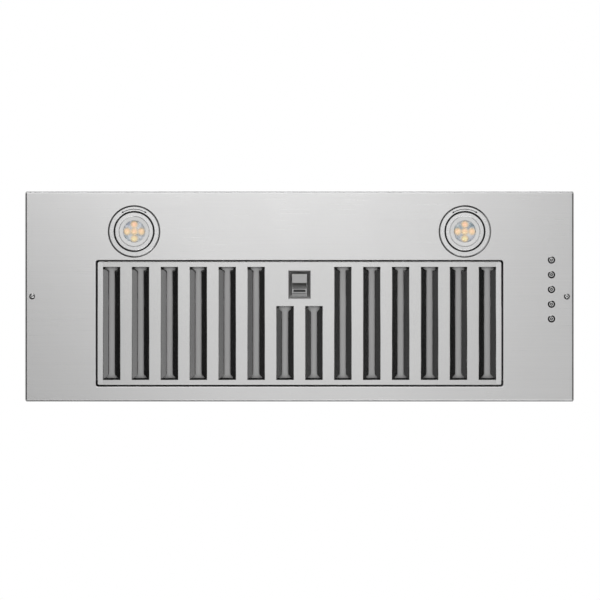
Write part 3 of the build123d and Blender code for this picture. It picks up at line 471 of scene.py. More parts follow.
def makeFaceSheet(facts):
    mesh = bmesh.new()
    level, half = facts["level"], facts["length"] / 2
    front, back = facts["y"] - facts["depth"] / 2, facts["y"] + facts["depth"] / 2
    size = Matrix.Diagonal((half, facts["depth"] / 2, 1, 1))
    matrix = Matrix.Translation((0, facts["y"], level)) @ size
    bmesh.ops.create_grid(mesh, x_segments=1, y_segments=1, size=1.0, matrix=matrix)

    pitch = facts["length"] / facts["slots"]
    slots = []
    for n in range(facts["slots"]):
        place = n - (facts["slots"] - 1) / 2
        start = front + (facts["shortStart"] if abs(place) < 1 else facts["margin"])
        slots.append((place * pitch, start, back - facts["margin"]))
    slope = atan2(facts["flapRise"], facts["flapRun"])
    setBack = facts["bend"] * tan(slope / 2)
    wide = facts["slotWidth"] / 2 + setBack
    cupHalf, cupFront, cupBack = facts["cup"][0] / 2, facts["cup"][1], facts["cup"][2]

    for x in [s[0] + side * wide for s in slots for side in (-1, 1)] + [-cupHalf, cupHalf]:
        cutAcross(mesh, (x, 0, 0), (1, 0, 0))
    for y in sorted({s[1] for s in slots} | {slots[0][2], cupFront, cupBack}):
        cutAcross(mesh, (0, y, 0), (0, 1, 0))

    def inside(face):
        middle = face.calc_center_median()
        if abs(middle.x) < cupHalf and cupFront < middle.y < cupBack:
            return True
        return any(abs(middle.x - x) < wide and start < middle.y < end for x, start, end in slots)

    bmesh.ops.delete(mesh, geom=[f for f in mesh.faces if inside(f)], context="FACES")

    # one row of edges is drawn out along the bend, then straight up the flap, and gets shorter
    def drawFlap(edges, steps, low, high):
        for stepX, stepZ in steps:
            moved, edges = drawOut(mesh, edges, (stepX, 0, stepZ))
            for v in moved:
                if abs(v.co.y - low) < touch:
                    v.co.y += abs(stepX)
                elif abs(v.co.y - high) < touch:
                    v.co.y -= abs(stepX)
            low, high = low + abs(stepX), high - abs(stepX)

    # the open edges of the flat plate between two corners
    def openEdges(lowX, highX, lowY, highY):
        return [
            e for e in mesh.edges
            if len(e.link_faces) == 1 and all(
                lowX - touch < v.co.x < highX + touch and lowY - touch < v.co.y < highY + touch
                and abs(v.co.z - level) < touch for v in e.verts
            )
        ]

    arcCount = facts["bendSteps"]
    for x, start, end in slots:
        for side in (-1, 1):
            edges = openEdges(x + side * wide, x + side * wide, start, end)
            steps = []
            for n in range(arcCount):
                low, high = slope * n / arcCount, slope * (n + 1) / arcCount
                run, rise = sin(high) - sin(low), cos(low) - cos(high)
                steps.append((-side * facts["bend"] * run, facts["bend"] * rise))
            leftRun = facts["flapRun"] + setBack - sum(abs(s[0]) for s in steps)
            steps.append((-side * leftRun, leftRun * tan(slope)))
            steps.append((-side * facts["hem"][0], facts["hem"][1]))
            drawFlap(edges, steps, start, end)

    # a small rolled lip at the slot's front, and a wider one at its back, painted dark as painted shade
    lip, angles = facts["lip"], [pi / 2 * n / facts["lipSteps"] for n in range(facts["lipSteps"] + 1)]
    rolled = [(lip * (sin(b) - sin(a)), lip * (cos(a) - cos(b))) for a, b in zip(angles, angles[1:])]
    for x, start, end in slots:
        for y, side in ((start, 1), (end, -1)):
            edges = openEdges(x - wide, x + wide, y, y)
            steps = rolled if side > 0 else [rolled[0], facts["rearLip"]]
            for step in steps:
                moved, edges = drawOut(mesh, edges, (0, side * step[0], step[1]))
                # the rear lip takes the near-black: painted shade at the slot's back end
                if step == facts["rearLip"]:
                    for face in {f for v in moved for f in v.link_faces}:
                        face.material_index = 1

    # the turned-up edge all round
    def onEnd(v):
        return abs(abs(v.co.x) - half) < touch

    def onSide(v, sides=(front, back)):
        return any(abs(v.co.y - y) < touch for y in sides)

    rim = [
        e for e in mesh.edges if len(e.link_faces) == 1 and (
            all(onEnd(v) for v in e.verts)
            or any(all(onSide(v, (y,)) for v in e.verts) for y in (front, back))
        )
    ]
    drawOut(mesh, rim, (0, 0, facts["top"] - level))
    upright = [
        e for e in mesh.edges
        if all(onEnd(v) and onSide(v) for v in e.verts) and abs(e.verts[0].co.z - e.verts[1].co.z) > 1
    ]
    bevelEdges(mesh, upright, facts["corner"], 5)
    fold = [
        e for e in mesh.edges if len(e.link_faces) == 2 and e.calc_face_angle(0.0) > 1.2
        and all(abs(v.co.z - level) < touch for v in e.verts)
    ]
    bevelEdges(mesh, fold, facts["edgeBend"], 3)
    bmesh.ops.recalc_face_normals(mesh, faces=mesh.faces)
    plate = max(mesh.faces, key=lambda f: f.calc_area() if abs(f.normal.z) > 0.99 else 0)
    if plate.normal.z > 0:
        bmesh.ops.reverse_faces(mesh, faces=mesh.faces)
    # dark patches laid in the slots' corners: painted shade
    gapLevel = level + facts["gapRise"]
    for x, start, end in slots:
        for side in (-1, 1):
            for y, turn in ((start, 1), (end, -1)):
                outline = [
                    mesh.verts.new((x + side * (wide - inward), y + turn * along, gapLevel))
                    for inward, along in facts["gap"]
                ]
                gap = mesh.faces.new(outline)
                gap.material_index = 1
                gap.normal_update()
                if gap.normal.z > 0:
                    gap.normal_flip()
    sheet = makePiece(
        "filterFaceSheet", mesh, "filter", finishes["filter_steel"],
        ["filter_face_sheet"],
        modifiers=[("SOLIDIFY", {"thickness": facts["sheet"] * mm, "offset": -1.0})],
    )
    sheet.data.materials.append(finishes["painted_shade"])


makeFaceSheet(faceSheet)
print("filter face sheet made")


# lamps: a fixed bezel with its arrows, and a turning ring with lens and emitters

lamp = {
    "steps": 128,
    "bezel": [
        (31.3, -7.6), (31.9, -9.0), (32.5, -9.9), (32.8, -10.0), (39.0, -10.0), (39.3, -9.92),
        (41.1, -9.25), (41.75, -9.0), (39.0, -9.0), (39.0, 3.0), (38.0, 3.0), (38.0, -7.0),
        (32.3, -7.0), (32.3, 3.0), (31.3, 3.0),
    ],
    "ring": [
        (17.5, -6.9), (17.9, -7.2), (22.4, -8.8), (22.9, -8.9), (23.3, -8.3), (23.7, -8.3), (24.1, -9.3),
        (24.5, -9.4), (29.7, -9.4), (30.1, -9.3), (30.7, -8.7), (31.25, -7.6), (31.25, 5.6), (29.75, 5.6),
        (29.75, -5.6), (17.5, -5.6),
    ],
    "lens": [(0.0, -5.6), (20.0, -5.6), (20.0, -4.4), (0.0, -4.4)],
    # the ring's outer edge and the bezel's inner wall, where the two meet, and the bezel's edge on the
    # panel, are painted black as painted shade
    "bezelShadeBands": ((31.0, 32.4), (40.5, 42.0)), "ringShadeBand": (30.2, 31.3), "ringWhite": (17.0, 23.3),
    "paintedBelow": -6.0,
    "arrowRadius": 35.4, "arrowWidth": 1.1, "arrowSweep": 29.0, "arrowHead": (3.8, 1.7),
    "arrowLevels": (-10.03, -9.98),
}


# the faces of a turned piece between two radii and below a level take another of its finishes
def paintRing(mesh, places, radii, below, index=1):
    for face in mesh.faces:
        middle = face.calc_center_median()
        for x, y in places:
            away = ((middle.x - x) ** 2 + (middle.y - y) ** 2) ** 0.5
            if radii[0] < away < radii[1] and middle.z < below:
                face.material_index = index


def makeLampBezels(facts):
    mesh = bmesh.new()
    for x, y in lampPlaces:
        turnProfile(mesh, facts["bezel"], x, y, facts["steps"])
    closedUp(mesh)
    # black bands on the bezel: painted shade
    for shadeBand in facts["bezelShadeBands"]:
        paintRing(mesh, lampPlaces, shadeBand, facts["paintedBelow"])
    bezels = makePiece(
        "lampBezels", mesh, "hood", finishes["bezel_steel"], ["lamp_bezels"], smooth=28.0
    )
    bezels.data.materials.append(finishes["black_plastic"])


# double-headed arrows round the front of each bezel, printed on it
def makeLampArrows(facts, ink):
    mesh = bmesh.new()
    radius, half, sweep = facts["arrowRadius"], facts["arrowWidth"] / 2, radians(facts["arrowSweep"])
    long, wide = facts["arrowHead"]
    low, high = facts["arrowLevels"]
    for x, y in lampPlaces:
        start = -pi / 2 - sweep
        square = ((-half, low), (half, low), (half, high), (-half, high))
        corners = [
            mesh.verts.new((x + (radius + out) * cos(start), y + (radius + out) * sin(start), z))
            for out, z in square
        ]
        section = mesh.faces.new(corners)
        bmesh.ops.spin(
            mesh, geom=[section] + list(section.edges) + list(section.verts),
            cent=(x, y, 0), axis=(0, 0, 1), angle=2 * sweep, steps=24, use_duplicate=False,
        )
        for side in (-1, 1):
            angle = -pi / 2 + side * sweep
            outline = []
            for along, across in ((0, wide), (long, 0), (0, -wide)):
                turn = angle + side * along / radius
                outline.append(((radius + across) * cos(turn), (radius + across) * sin(turn)))
            bottom = mesh.faces.new([mesh.verts.new((x + px, y + py, low)) for px, py in outline])
            made = bmesh.ops.extrude_face_region(mesh, geom=[bottom])["geom"]
            lifted = [v for v in made if isinstance(v, bmesh.types.BMVert)]
            bmesh.ops.translate(mesh, vec=(0, 0, high - low), verts=lifted)
    bmesh.ops.recalc_face_normals(mesh, faces=mesh.faces)
    makePiece("lampArrows", mesh, "hood", ink)


def lensGlass():
    shader = Shader("lensGlass")
    haze = shader.noise(shader.place(), scale=260.0, detail=2.0)
    return shader.principled(
        Base_Color=(0.93, 0.96, 1.0, 1.0), Roughness=0.24 + haze * 0.1, Transmission_Weight=1.0, IOR=1.42,
        Normal=shader.bump(haze, 0.2, 0.00003),
    )


# five domed emitters on the board, as places across and along it
emitters = {
    "spread": 11.3, "radius": 5.0, "low": -3.2, "high": -2.4, "crown": 1.0,
    "places": [(0, 0), (1, 0), (-1, 0), (0, 1), (0, -1)],
    "plate": [(0.0, -2.75), (20.5, -2.75), (24.0, -3.4), (24.0, -2.45), (0.0, -2.45)],
}


# how far a point is from the nearest emitter, in radii, and how far back it is in its lamp
def nearestEmitter(shader, facts):
    split = shader.add("ShaderNodeSeparateXYZ", None, {0: shader.place()})
    x, y = Value(shader, split.outputs["X"]), Value(shader, split.outputs["Y"])
    lampX, lampY = lampPlaces[1]
    across, along = x.sum("ABSOLUTE", x, 0.0) - lampX * mm, y - lampY * mm
    nearest = None
    for placeX, placeY in facts["places"]:
        stepX = across - placeX * facts["spread"] * mm
        stepY = along - placeY * facts["spread"] * mm
        away = (stepX * stepX + stepY * stepY) ** 0.5
        nearest = away if nearest is None else nearest.sum("MINIMUM", nearest, away)
    return nearest / (facts["radius"] * mm), along / (facts["spread"] * mm)


# the plate behind the lens: a cool pale ground with darker patches, a painted reflection of the room, and
# a warm painted glow round each emitter
def reflectorPaintedLight(facts):
    shader = Shader("reflectorPaintedLight")
    place = shader.place()
    patches = shader.noise(place, scale=85.0, detail=2.0)
    broad = {"Vector": place, "Scale": 60.0, "Detail": 1.0}
    tint = shader.value("ShaderNodeTexNoise", None, broad, "Color")
    cool, pale = (0.33, 0.43, 0.47, 1.0), grey(0.96)
    colour = shader.mix(0.18, shader.mix(shader.between(patches, 0.38, 0.54), cool, pale), tint)
    away = nearestEmitter(shader, facts)[0]
    # a warm painted glow round each emitter, standing in for its light on the plate
    paintedGlow = shader.between(away, 0.9, 1.7, (0.7, 0.0), "SMOOTHSTEP")
    colour = shader.mix(paintedGlow, colour, (0.93, 0.74, 0.52, 1.0))
    return shader.principled(
        Base_Color=colour, Roughness=0.3 + patches * 0.1, Metallic=0.0, Coat_Weight=0.2,
        Normal=shader.bump(patches, 0.2, 0.0002),
    )


# pinkish at the front of the lamp and yellower at its back, and dimmer at each emitter's rim
def emitterGlow(facts):
    shader = Shader("emitterGlow")
    away, back = nearestEmitter(shader, facts)
    heat = shader.between(away, 0.2, 1.0, (1.0, 0.0), "SMOOTHSTEP")
    phosphor = shader.noise(shader.place(), scale=160.0, detail=2.0)
    hue = shader.between(back + (phosphor - 0.5) * 2.2, -0.6, 1.4)
    cream = shader.mix(hue, (0.98, 0.50, 0.30, 1.0), (0.74, 0.74, 0.30, 1.0))
    colour = shader.mix(heat, (0.66, 0.46, 0.24, 1.0), cream)
    return shader.principled(
        Base_Color=(0.30, 0.24, 0.17, 1.0), Roughness=0.35, Emission_Color=colour, Emission_Strength=0.9,
    )


def makeLampLens(name, x, y, facts, glass):
    mesh = bmesh.new()
    turnProfile(mesh, facts["lens"], x, y, closed=False)
    closedUp(mesh)
    makePiece(f"{name}LampLens", mesh, f"{name}_lamp", glass, [f"{name}_lamp_lens"])


def makeEmitters(name, x, y, facts, glow):
    mesh = bmesh.new()
    spread, radius = facts["spread"], facts["radius"]
    for across, along in facts["places"]:
        angles = [t * pi / 16 for t in range(9)]
        arc = [(radius * sin(t), facts["low"] - facts["crown"] * cos(t)) for t in angles]
        arc += [(radius, facts["high"]), (0.0, facts["high"])]
        turnProfile(mesh, arc, x + across * spread, y + along * spread, 32, closed=False)
    closedUp(mesh)
    makePiece(f"{name}LampEmitters", mesh, f"{name}_lamp", glow, [f"{name}_lamp_leds"])


def makeLampRing(name, x, y, facts, white):
    mesh = bmesh.new()
    turnProfile(mesh, facts["ring"], x, y, facts["steps"])
    closedUp(mesh)
    # a black band on the ring's outer edge: painted shade; the dish takes the satin white
    paintRing(mesh, lampPlaces, facts["ringShadeBand"], facts["paintedBelow"])
    paintRing(mesh, lampPlaces, facts["ringWhite"], facts["paintedBelow"], 2)
    ring = makePiece(
        f"{name}LampRing", mesh, f"{name}_lamp", finishes["bezel_steel"],
        [f"{name}_lamp_ring"], smooth=28.0,
    )
    ring.data.materials.append(finishes["black_plastic"])
    ring.data.materials.append(white)


# a thin plate over the board, with the emitters standing through it
def makeReflector(name, x, y, facts, finish):
    mesh = bmesh.new()
    turnProfile(mesh, facts["plate"], x, y, 64, closed=False)
    closedUp(mesh)
    makePiece(f"{name}LampReflector", mesh, f"{name}_lamp", finish)


makeLampBezels(lamp)
makeLampArrows(lamp, moulded("arrowInk", (0.035, 0.035, 0.04, 1.0), rough=0.5))
glass, ground, glow = lensGlass(), reflectorPaintedLight(emitters), emitterGlow(emitters)
satin = moulded("satinWhite", (0.66, 0.66, 0.655, 1.0), rough=0.55, grain=900.0)
for name, (x, y) in zip(("left", "right"), lampPlaces):
    makeLampRing(name, x, y, lamp, satin)
    makeLampLens(name, x, y, lamp, glass)
    makeEmitters(name, x, y, emitters, glow)
    makeReflector(name, x, y, emitters, ground)
print("lamps made")


# push buttons: a turned bezel and a dished cap each

button = {
    "bezel": [
        (4.25, -8.0), (4.4, -9.2), (4.55, -9.7), (4.75, -9.8), (5.9, -9.02), (5.9, -9.0), (5.05, -9.0),
        (5.05, -4.0), (4.25, -4.0),
    ],
    "cap": [
        (0.0, -9.75), (0.95, -9.75), (1.1, -9.5), (2.15, -9.5), (2.3, -9.95), (2.5, -10.0), (3.6, -10.0),
        (3.9, -9.85), (4.0, -9.3), (4.0, -5.5), (1.5, -5.5), (1.5, 4.5), (0.0, 4.5),
    ],
    "groove": (1.0, 2.25),     # the radii between which the cap is dark
}


def makeButtons(facts):
    mesh = bmesh.new()
    for y in buttonYs:
        turnProfile(mesh, facts["bezel"], buttonX, y, 64)
    closedUp(mesh)
    makePiece(
        "buttonBezels", mesh, "hood", finishes["button_bezel"], ["button_bezels"],
        smooth=25.0,
    )
    for number, y in enumerate(buttonYs, 1):
        mesh = bmesh.new()
        turnProfile(mesh, facts["cap"], buttonX, y, 64, closed=False)
        closedUp(mesh)
        # the cap's groove is painted near-black: painted shade
        paintRing(mesh, [(buttonX, y)], facts["groove"], faceLevel)
        cap = makePiece(
            f"buttonCap{number}", mesh, f"push_button_{number}", finishes["button_steel"],
            [f"button_{number}"], smooth=25.0,
        )
        cap.data.materials.append(finishes["painted_shade"])


makeButtons(button)
print("push buttons made")


# filter latch: a pressed slide with a hollow and a slotted grip, and a stepped ledge in its cup

latch = {
    "halfWidths": (12.0, 11.3), "sheet": 1.1,
    # the slide's section from front to back, as (y, z) of its outer face
    "section": [
        (-36.1, -5.6), (-35.6, -6.15), (-35.0, -6.2), (-22.2, -6.2), (-21.3, -6.1), (-20.8, -5.7),
        (-13.4, -1.6), (-12.6, -1.9), (-12.1, -5.6), (-11.7, -6.15), (-11.2, -6.2), (-6.1, -6.2),
        (-5.6, -6.1), (-5.4, -5.6),
    ],
    "grip": ((-9.6, 9.6), (-10.9, -7.1)),
    "shoe": ((-6.0, 6.0), (-34.9, -24.9), (-5.2, -1.0)),
    "neck": ((-3.0, 3.0), (-34.9, -30.9), (-5.2, 0.4)),
    "head": ((-7.0, 7.0), (-35.8, -23.8), (0.4, 1.4)),
    "slotShade": ((-10.0, 10.0), (-11.3, -6.7), (-4.9, -4.4)),
    "ledge": ((-11.4, 11.4), (-4.0, -1.9, -1.4, 0.5), (-3.7, -0.72)),
    "web": (0.2, 0.8),         # how far the ledge's two steps are joined, and how much lower that is
}


def makeLatchSlide(facts):
    mesh = bmesh.new()
    section = facts["section"]
    low, high = section[0][0], section[-1][0]
    frontHalf, backHalf = facts["halfWidths"]

    # the plate is wider at its front, and its section runs across it
    corners = [mesh.verts.new((-1.0, y, z)) for y, z in section]
    edges = [mesh.edges.new(pair) for pair in zip(corners, corners[1:])]
    bmesh.ops.extrude_edge_only(mesh, edges=edges)
    across = [v for v in mesh.verts if v not in corners]
    bmesh.ops.translate(mesh, vec=(2.0, 0, 0), verts=across)
    for v in mesh.verts:
        share = (v.co.y - low) / (high - low)
        v.co.x *= frontHalf + (backHalf - frontHalf) * min(1.0, share * 2)
    gripX, gripY = facts["grip"]
    for x in gripX:
        cutAcross(mesh, (x, 0, 0), (1, 0, 0))
    for y in gripY:
        cutAcross(mesh, (0, y, 0), (0, 1, 0))

    def inGrip(face):
        middle = face.calc_center_median()
        return gripX[0] < middle.x < gripX[1] and gripY[0] < middle.y < gripY[1]

    bmesh.ops.delete(mesh, geom=[f for f in mesh.faces if inGrip(f)], context="FACES")
    bmesh.ops.recalc_face_normals(mesh, faces=mesh.faces)
    plate = max(mesh.faces, key=lambda f: f.calc_area())
    if plate.normal.z > 0:
        bmesh.ops.reverse_faces(mesh, faces=mesh.faces)
    bmesh.ops.solidify(mesh, geom=mesh.faces, thickness=facts["sheet"])
    for block in ("shoe", "neck", "head"):
        addBlock(mesh, *facts[block], edge=0.25)
    makePiece("latchSlide", mesh, "latch", finishes["slide_steel"], ["latch_slide"])
    # a black plate just behind the grip's slot: painted shadow, so the slot shows dark
    mesh = bmesh.new()
    addBlock(mesh, *facts["slotShade"], edge=0.15)
    makePiece("latchSlotShade", mesh, "latch", finishes["black_plastic"])


def makeLatchLedge(facts):
    mesh = bmesh.new()
    x, ys, z = facts["ledge"]
    overlap, drop = facts["web"]
    for y in (ys[:2], ys[2:]):
        addBlock(mesh, x, y, z, edge=0.35, segments=3)
    addBlock(mesh, x, (ys[1] - overlap, ys[2] + overlap), (z[0] + drop, z[1]))
    makePiece("latchLedge", mesh, "filter", finishes["mill_steel"])


makeLatchSlide(latch)
makeLatchLedge(latch)
print("latch made")


# fixing screws in the face panel: domed heads with a cross recess

screws = {
    "places": [(-425.3, 0.0), (425.3, 0.0)],
    "head": [
        (0.0, -11.2), (1.0, -11.16), (2.0, -11.0), (3.0, -10.7), (3.9, -10.25), (4.5, -9.75),
        (4.85, -9.3), (4.95, faceLevel),
    ],
    "shank": 2.5, "top": 12.0,
    "recess": (0.45, 2.2, 1.2),    # half width and length of the cross, and its depth
    "recessBelow": -9.5,
}


def makeScrews(facts):
    mesh = bmesh.new()
    wide, long, deep = facts["recess"]
    shank = [(facts["shank"], faceLevel), (facts["shank"], facts["top"]), (0.0, facts["top"])]
    for x, y in facts["places"]:
        turnProfile(mesh, facts["head"] + shank, x, y, 48, closed=False)
    # each cross is cut by two pairs of planes, and pressed in with sloping sides
    for x, y in facts["places"]:
        for side in (-wide, wide):
            cutAcross(mesh, (x + side, 0, 0), (1, 0, 0))
            cutAcross(mesh, (0, y + side, 0), (0, 1, 0))
        for v in mesh.verts:
            dx, dy = abs(v.co.x - x), abs(v.co.y - y)
            inside = dx < wide - touch and dy < long or dy < wide - touch and dx < long
            if v.co.z < facts["recessBelow"] and inside:
                v.co.z += deep * (1.0 - max(dx, dy) / long)
    closedUp(mesh)
    makePiece(
        "faceplateScrews", mesh, "hood", finishes["bright_steel"],
        ["faceplate_screws"], smooth=50.0,
    )


makeScrews(screws)
print("screws made")


# housing: riveted laps at the corners, a flange round the tower's foot, and a beaded collar

housing = {
    "liner": (419.0, 156.0, 2.0, 103.0), "tower": (180.0, 156.0, 107.0, 278.0),
    "lapWidth": 13.0, "lapSheet": 0.6, "foot": (12.0, 150.0, 105.0),
    "rivet": [(0.0, 1.35), (0.8, 1.3), (1.6, 1.05), (2.3, 0.6), (2.6, 0.1), (2.6, -0.3)],
    "rivetPitch": 44.0, "rivetShare": 0.55,    # how far across its lap a rivet sits
}


def addRivet(mesh, place, toward):
    before = set(mesh.verts)
    turnProfile(mesh, housing["rivet"], 0, 0, 16, closed=False)
    turn = Vector((0, 0, 1)).rotation_difference(Vector(toward)).to_matrix().to_4x4()
    made = [v for v in mesh.verts if v not in before]
    bmesh.ops.transform(mesh, matrix=Matrix.Translation(place) @ turn, verts=made)


def spread(low, high, pitch):
    count = max(2, round((high - low) / pitch))
    return [low + (high - low) * (n + 0.5) / count for n in range(count)]


def makeHousingSeams(facts):
    laps, rivets = bmesh.new(), bmesh.new()
    sheet, wide, share = facts["lapSheet"], facts["lapWidth"], facts["rivetShare"]
    for endX, endY, low, high in (facts["liner"], facts["tower"]):
        for sideX in (-1, 1):
            for sideY in (-1, 1):
                x = sorted((sideX * endX, sideX * (endX + sheet)))
                y = sorted((sideY * endY, sideY * (endY - wide)))
                addBlock(laps, x, y, (low, high), edge=0.25)
                for z in spread(low, high, facts["rivetPitch"]):
                    place = (sideX * (endX + sheet), sideY * (endY - wide * share), z)
                    addRivet(rivets, place, (sideX, 0, 0))
    towerX, (reach, half, level) = facts["tower"][0], facts["foot"]
    for side in (-1, 1):
        x = sorted((side * towerX, side * (towerX + reach)))
        addBlock(laps, x, (-half, half), (level, level + sheet), edge=0.25)
        for y in spread(-half, half, facts["rivetPitch"]):
            addRivet(rivets, (side * (towerX + reach * share), y, level + sheet), (0, 0, 1))
    makePiece("housingLaps", laps, "hood", finishes["zinc_sheet"])
    closedUp(rivets)
    makePiece("housingRivets", rivets, "hood", finishes["spring_steel"], smooth=60.0)


collar = {
    "centre": (0.0, 14.0),
    # from the flange up: a swaged foot, a round bead and a crimped mouth
    "outline": [
        (74.0, 280.1), (92.0, 280.1), (92.0, 281.0), (91.7, 281.3), (77.5, 281.3), (76.2, 281.9),
        (75.3, 283.2), (75.0, 285.0), (75.0, 303.5), (75.4, 304.4), (76.3, 305.2), (77.0, 306.3),
        (76.3, 307.4), (75.4, 308.2), (75.0, 309.1), (75.0, 328.6), (74.8, 329.6), (74.3, 330.0),
        (74.0, 329.6), (74.0, 309.1), (74.4, 308.0), (75.3, 306.3), (74.4, 304.6), (74.0, 303.5),
    ],
    "steps": 144, "radius": 75.0,
    "mouth": (309.0, 15.0, 8),     # where the plain wall begins, its least height and its cuts
    "crimpStart": 313.0, "crimpRun": 6.0, "crimpDepth": 0.9, "crimps": 36,
}


def makeCollar(facts):
    mesh = bmesh.new()
    x, y = facts["centre"]
    turnProfile(mesh, facts["outline"], x, y, facts["steps"])
    closedUp(mesh)
    base, tall, cuts = facts["mouth"]
    rows = [
        e for e in mesh.edges
        if min(v.co.z for v in e.verts) > base and abs(e.verts[0].co.z - e.verts[1].co.z) > tall
    ]
    bmesh.ops.subdivide_edges(mesh, edges=rows, cuts=cuts)
    for v in mesh.verts:
        if v.co.z > facts["crimpStart"]:
            angle = atan2(v.co.y - y, v.co.x - x)
            grip = min(1.0, (v.co.z - facts["crimpStart"]) / facts["crimpRun"])
            dip = grip * facts["crimpDepth"] * (1 - cos(angle * facts["crimps"])) / 2
            pull = 1.0 - dip / facts["radius"]
            v.co.x, v.co.y = x + (v.co.x - x) * pull, y + (v.co.y - y) * pull
    makePiece("ductCollar", mesh, "hood", finishes["collar_zinc"], ["duct_collar"])


makeHousingSeams(housing)
makeCollar(collar)
print("housing seams and collar made")


# springs: round wire wound on a helix, whose ends are left open
springs = {
    "sides": 8, "stepsPerTurn": 20,
    "button": {"radius": 2.2, "wire": 0.35, "turns": 5, "keep": 0.6, "levels": (-5.5, -0.5)},
    "latch": {"radius": 1.6, "wire": 0.3, "turns": 9, "keep": 0.72, "ys": (-6.1, -24.1), "level": 2.15},
}


def makeSpring(name, body, start, end, anchor, facts, stands, joint):
    mesh = bmesh.new()
    start, end, wire = Vector(start), Vector(end), facts["wire"]
    bmesh.ops.create_circle(
        mesh, segments=springs["sides"], radius=wire, cap_ends=True,
        matrix=Matrix.Translation((facts["radius"], 0, wire)) @ Matrix.Rotation(pi / 2, 4, "X"),
    )
    geom = list(mesh.verts) + list(mesh.edges) + list(mesh.faces)
    rise, steps = (end - start).length - 2 * wire, facts["turns"] * springs["stepsPerTurn"]
    bmesh.ops.spin(
        mesh, geom=geom, cent=(0, 0, 0), axis=(0, 0, 1), dvec=(0, 0, rise / steps),
        angle=2 * pi * facts["turns"], steps=steps, use_duplicate=False,
    )
    axis = (end - start).normalized()
    turn = Vector((0, 0, 1)).rotation_difference(axis).to_matrix().to_4x4()
    bmesh.ops.transform(mesh, matrix=Matrix.Translation(start) @ turn, verts=mesh.verts)
    bmesh.ops.recalc_face_normals(mesh, faces=mesh.faces)
    piece = makePiece(name, mesh, body, finishes["spring_steel"], stands)
    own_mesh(piece)


for number, y in enumerate(buttonYs, 1):
    ends = [(buttonX, y, z) for z in springs["button"]["levels"]]
    makeSpring(
        f"buttonSpring{number}", "hood", *ends, ends[1], springs["button"],
        ["button_springs"], f"button_{number}_press",
    )
ends = [(0, y, springs["latch"]["level"]) for y in springs["latch"]["ys"]]
makeSpring("latchSpring", "filter", *ends, ends[0], springs["latch"], ["latch_spring"], "latch_pull")
print("springs wound")


# studio: white all round for the camera, softer and darker where the metal looks

studio = {
    "floorLevel": -10.6,       # mm, just under the lamps' bezels
    "floorSize": 60.0,         # m
    "window": (0.4405, 0.171), "floorGloss": 0.6,
    "paper": (0.84, 0.87), "fade": (0.8, 3.5),
    # pale below, a darker band under the horizon, pale again above it, as (height, grey)
    "sky": [(0.0, 0.40), (0.05, 0.40), (0.11, 0.009), (0.44, 0.009), (0.53, 0.75), (1.0, 0.75)],
    "onMatt": 0.85,
}


def makeWorld(facts):
    world = bpy.data.worlds.new("studioWorld")
    bpy.context.scene.world = world
    shader = Shader("world", world)
    toward = shader.value("ShaderNodeTexCoord", output="Generated")
    height = shader.value("ShaderNodeSeparateXYZ", None, {0: toward}, "Z")
    stops = [(place, grey(level)) for place, level in facts["sky"]]
    level = shader.value("ShaderNodeValToRGB", {"stops": stops}, {0: height * 0.5 + 0.5})
    seen = shader.value("ShaderNodeLightPath", output="Is Camera Ray")
    through = shader.value("ShaderNodeLightPath", output="Is Transmission Ray")
    white = seen.sum("MAXIMUM", seen, through)
    matt = shader.value("ShaderNodeLightPath", output="Is Diffuse Ray")
    colour = shader.mix(white, shader.mix(matt, level, grey(facts["onMatt"])), grey(1.0))
    shader.finish(shader.value("ShaderNodeBackground", None, {"Color": colour}))


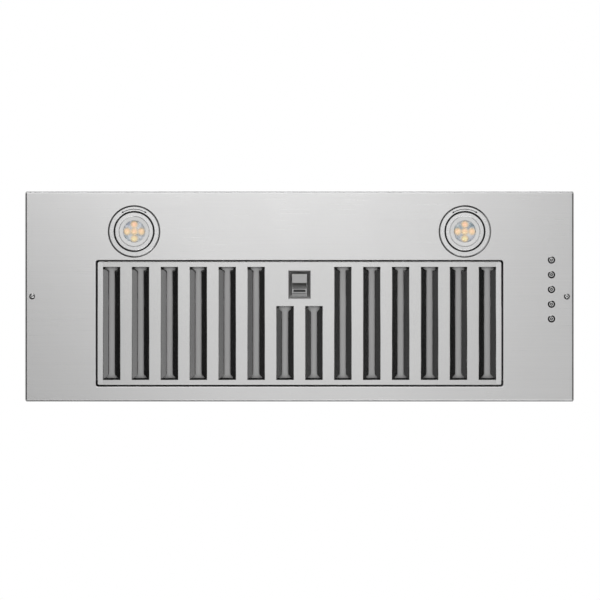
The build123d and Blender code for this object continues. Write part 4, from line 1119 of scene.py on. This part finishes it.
# the floor shows only from above: from below the camera looks through it
def makeFloor(facts):
    mesh = bmesh.new()
    bmesh.ops.create_grid(mesh, x_segments=1, y_segments=1, size=facts["floorSize"] / 2)
    data = bpy.data.meshes.new("floor")
    mesh.to_mesh(data)
    mesh.free()
    data.transform(Matrix.Translation((0, 0, facts["floorLevel"] * mm)))
    floor = bpy.data.objects.new("floor", data)
    bpy.context.scene.collection.objects.link(floor)
    shader = Shader("floorPaper")
    place = shader.place()
    fleck = shader.noise(place, scale=900.0, detail=1.0)
    away = shader.length(place)
    darker, lighter = (grey(tone) for tone in facts["paper"])
    paper = shader.value("ShaderNodeBsdfDiffuse", None, {"Color": shader.mix(fleck, darker, lighter)})
    white = shader.value("ShaderNodeEmission", None, {"Color": grey(1.0)})
    fading = shader.between(away, *facts["fade"], kind="SMOOTHSTEP")
    topSide = shader.value("ShaderNodeMixShader", None, {0: fading, 1: paper, 2: white})
    clear = shader.value("ShaderNodeBsdfTransparent", None, {"Color": grey(1.0)})
    # metal beside the floor shows it, and the underside looks through a window in it
    split = shader.add("ShaderNodeSeparateXYZ", None, {0: place})
    x, y = Value(shader, split.outputs[0]), Value(shader, split.outputs[1])
    wide, deep = facts["window"]
    window = (x.sum("ABSOLUTE", x, 0.0) < wide) * (y.sum("ABSOLUTE", y, 0.0) < deep)
    pale = shader.value("ShaderNodeEmission", None, {"Color": grey(facts["floorGloss"])})
    mirrored = shader.value("ShaderNodeMixShader", None, {0: window, 1: pale, 2: clear})
    glossy = shader.value("ShaderNodeLightPath", output="Is Glossy Ray")
    topSide = shader.value("ShaderNodeMixShader", None, {0: glossy, 1: topSide, 2: mirrored})
    under = shader.value("ShaderNodeNewGeometry", output="Backfacing")
    shader.finish(shader.value("ShaderNodeMixShader", None, {0: under, 1: topSide, 2: clear}))
    data.materials.append(shader.owner)
    floor.visible_diffuse = floor.visible_transmission = floor.visible_shadow = False


# soft boxes, as (place, what it points at, width, height, watts)
softBoxes = {
    "frontBox": ((-0.14, -0.52, -2.5), (-0.14, -0.52, 0.0), 1.3, 0.5, 2.75),
    "faceBox": ((0.02, 0.08, -2.5), (0.02, 0.08, 0.0), 0.93, 0.62, 1.03),
    "frontCard": ((0.0, -1.6, -0.75), (0.0, 0.0, 0.0), 1.4, 0.5, 5.0),
    "rightBox": ((1.2, 0.0, -2.5), (0.0, 0.05, 0.0), 1.0, 0.1, 0.3),
    "leftBox": ((-1.2, 0.0, -2.5), (0.0, 0.05, 0.0), 1.0, 0.3, 0.1),
    "rearBox": ((0.32, 1.1, -2.5), (0.0, 0.05, 0.0), 1.2, 0.3, 3.4),
    "rightCard": ((0.68, 0.03, -0.62), (-0.3, 0.03, -0.01), 1.0, 0.3, 0.30),
    "leftCard": ((-0.72, 0.03, -0.62), (0.3, 0.03, -0.01), 1.0, 0.3, 0.06),
    "topBox": ((0.6, -1.4, 2.2), (0.0, 0.0, 0.15), 1.6, 1.2, 15.0),
    "backBox": ((-1.0, 1.8, 1.6), (0.0, 0.0, 0.15), 1.4, 1.0, 9.0),
}


def makeSoftBoxes(boxes):
    for name, (place, target, width, height, watts) in boxes.items():
        light = bpy.data.lights.new(name, "AREA")
        light.shape, light.size, light.size_y, light.energy = "RECTANGLE", width, height, watts
        holder = bpy.data.objects.new(name, light)
        bpy.context.scene.collection.objects.link(holder)
        holder.location = place
        toward = Vector(target) - Vector(place)
        holder.rotation_euler = toward.to_track_quat("-Z", "Y").to_euler()
        holder.visible_camera = False


makeWorld(studio)
makeFloor(studio)
makeSoftBoxes(softBoxes)
bpy.context.scene.view_settings.view_transform = "Standard"
print("studio lit")
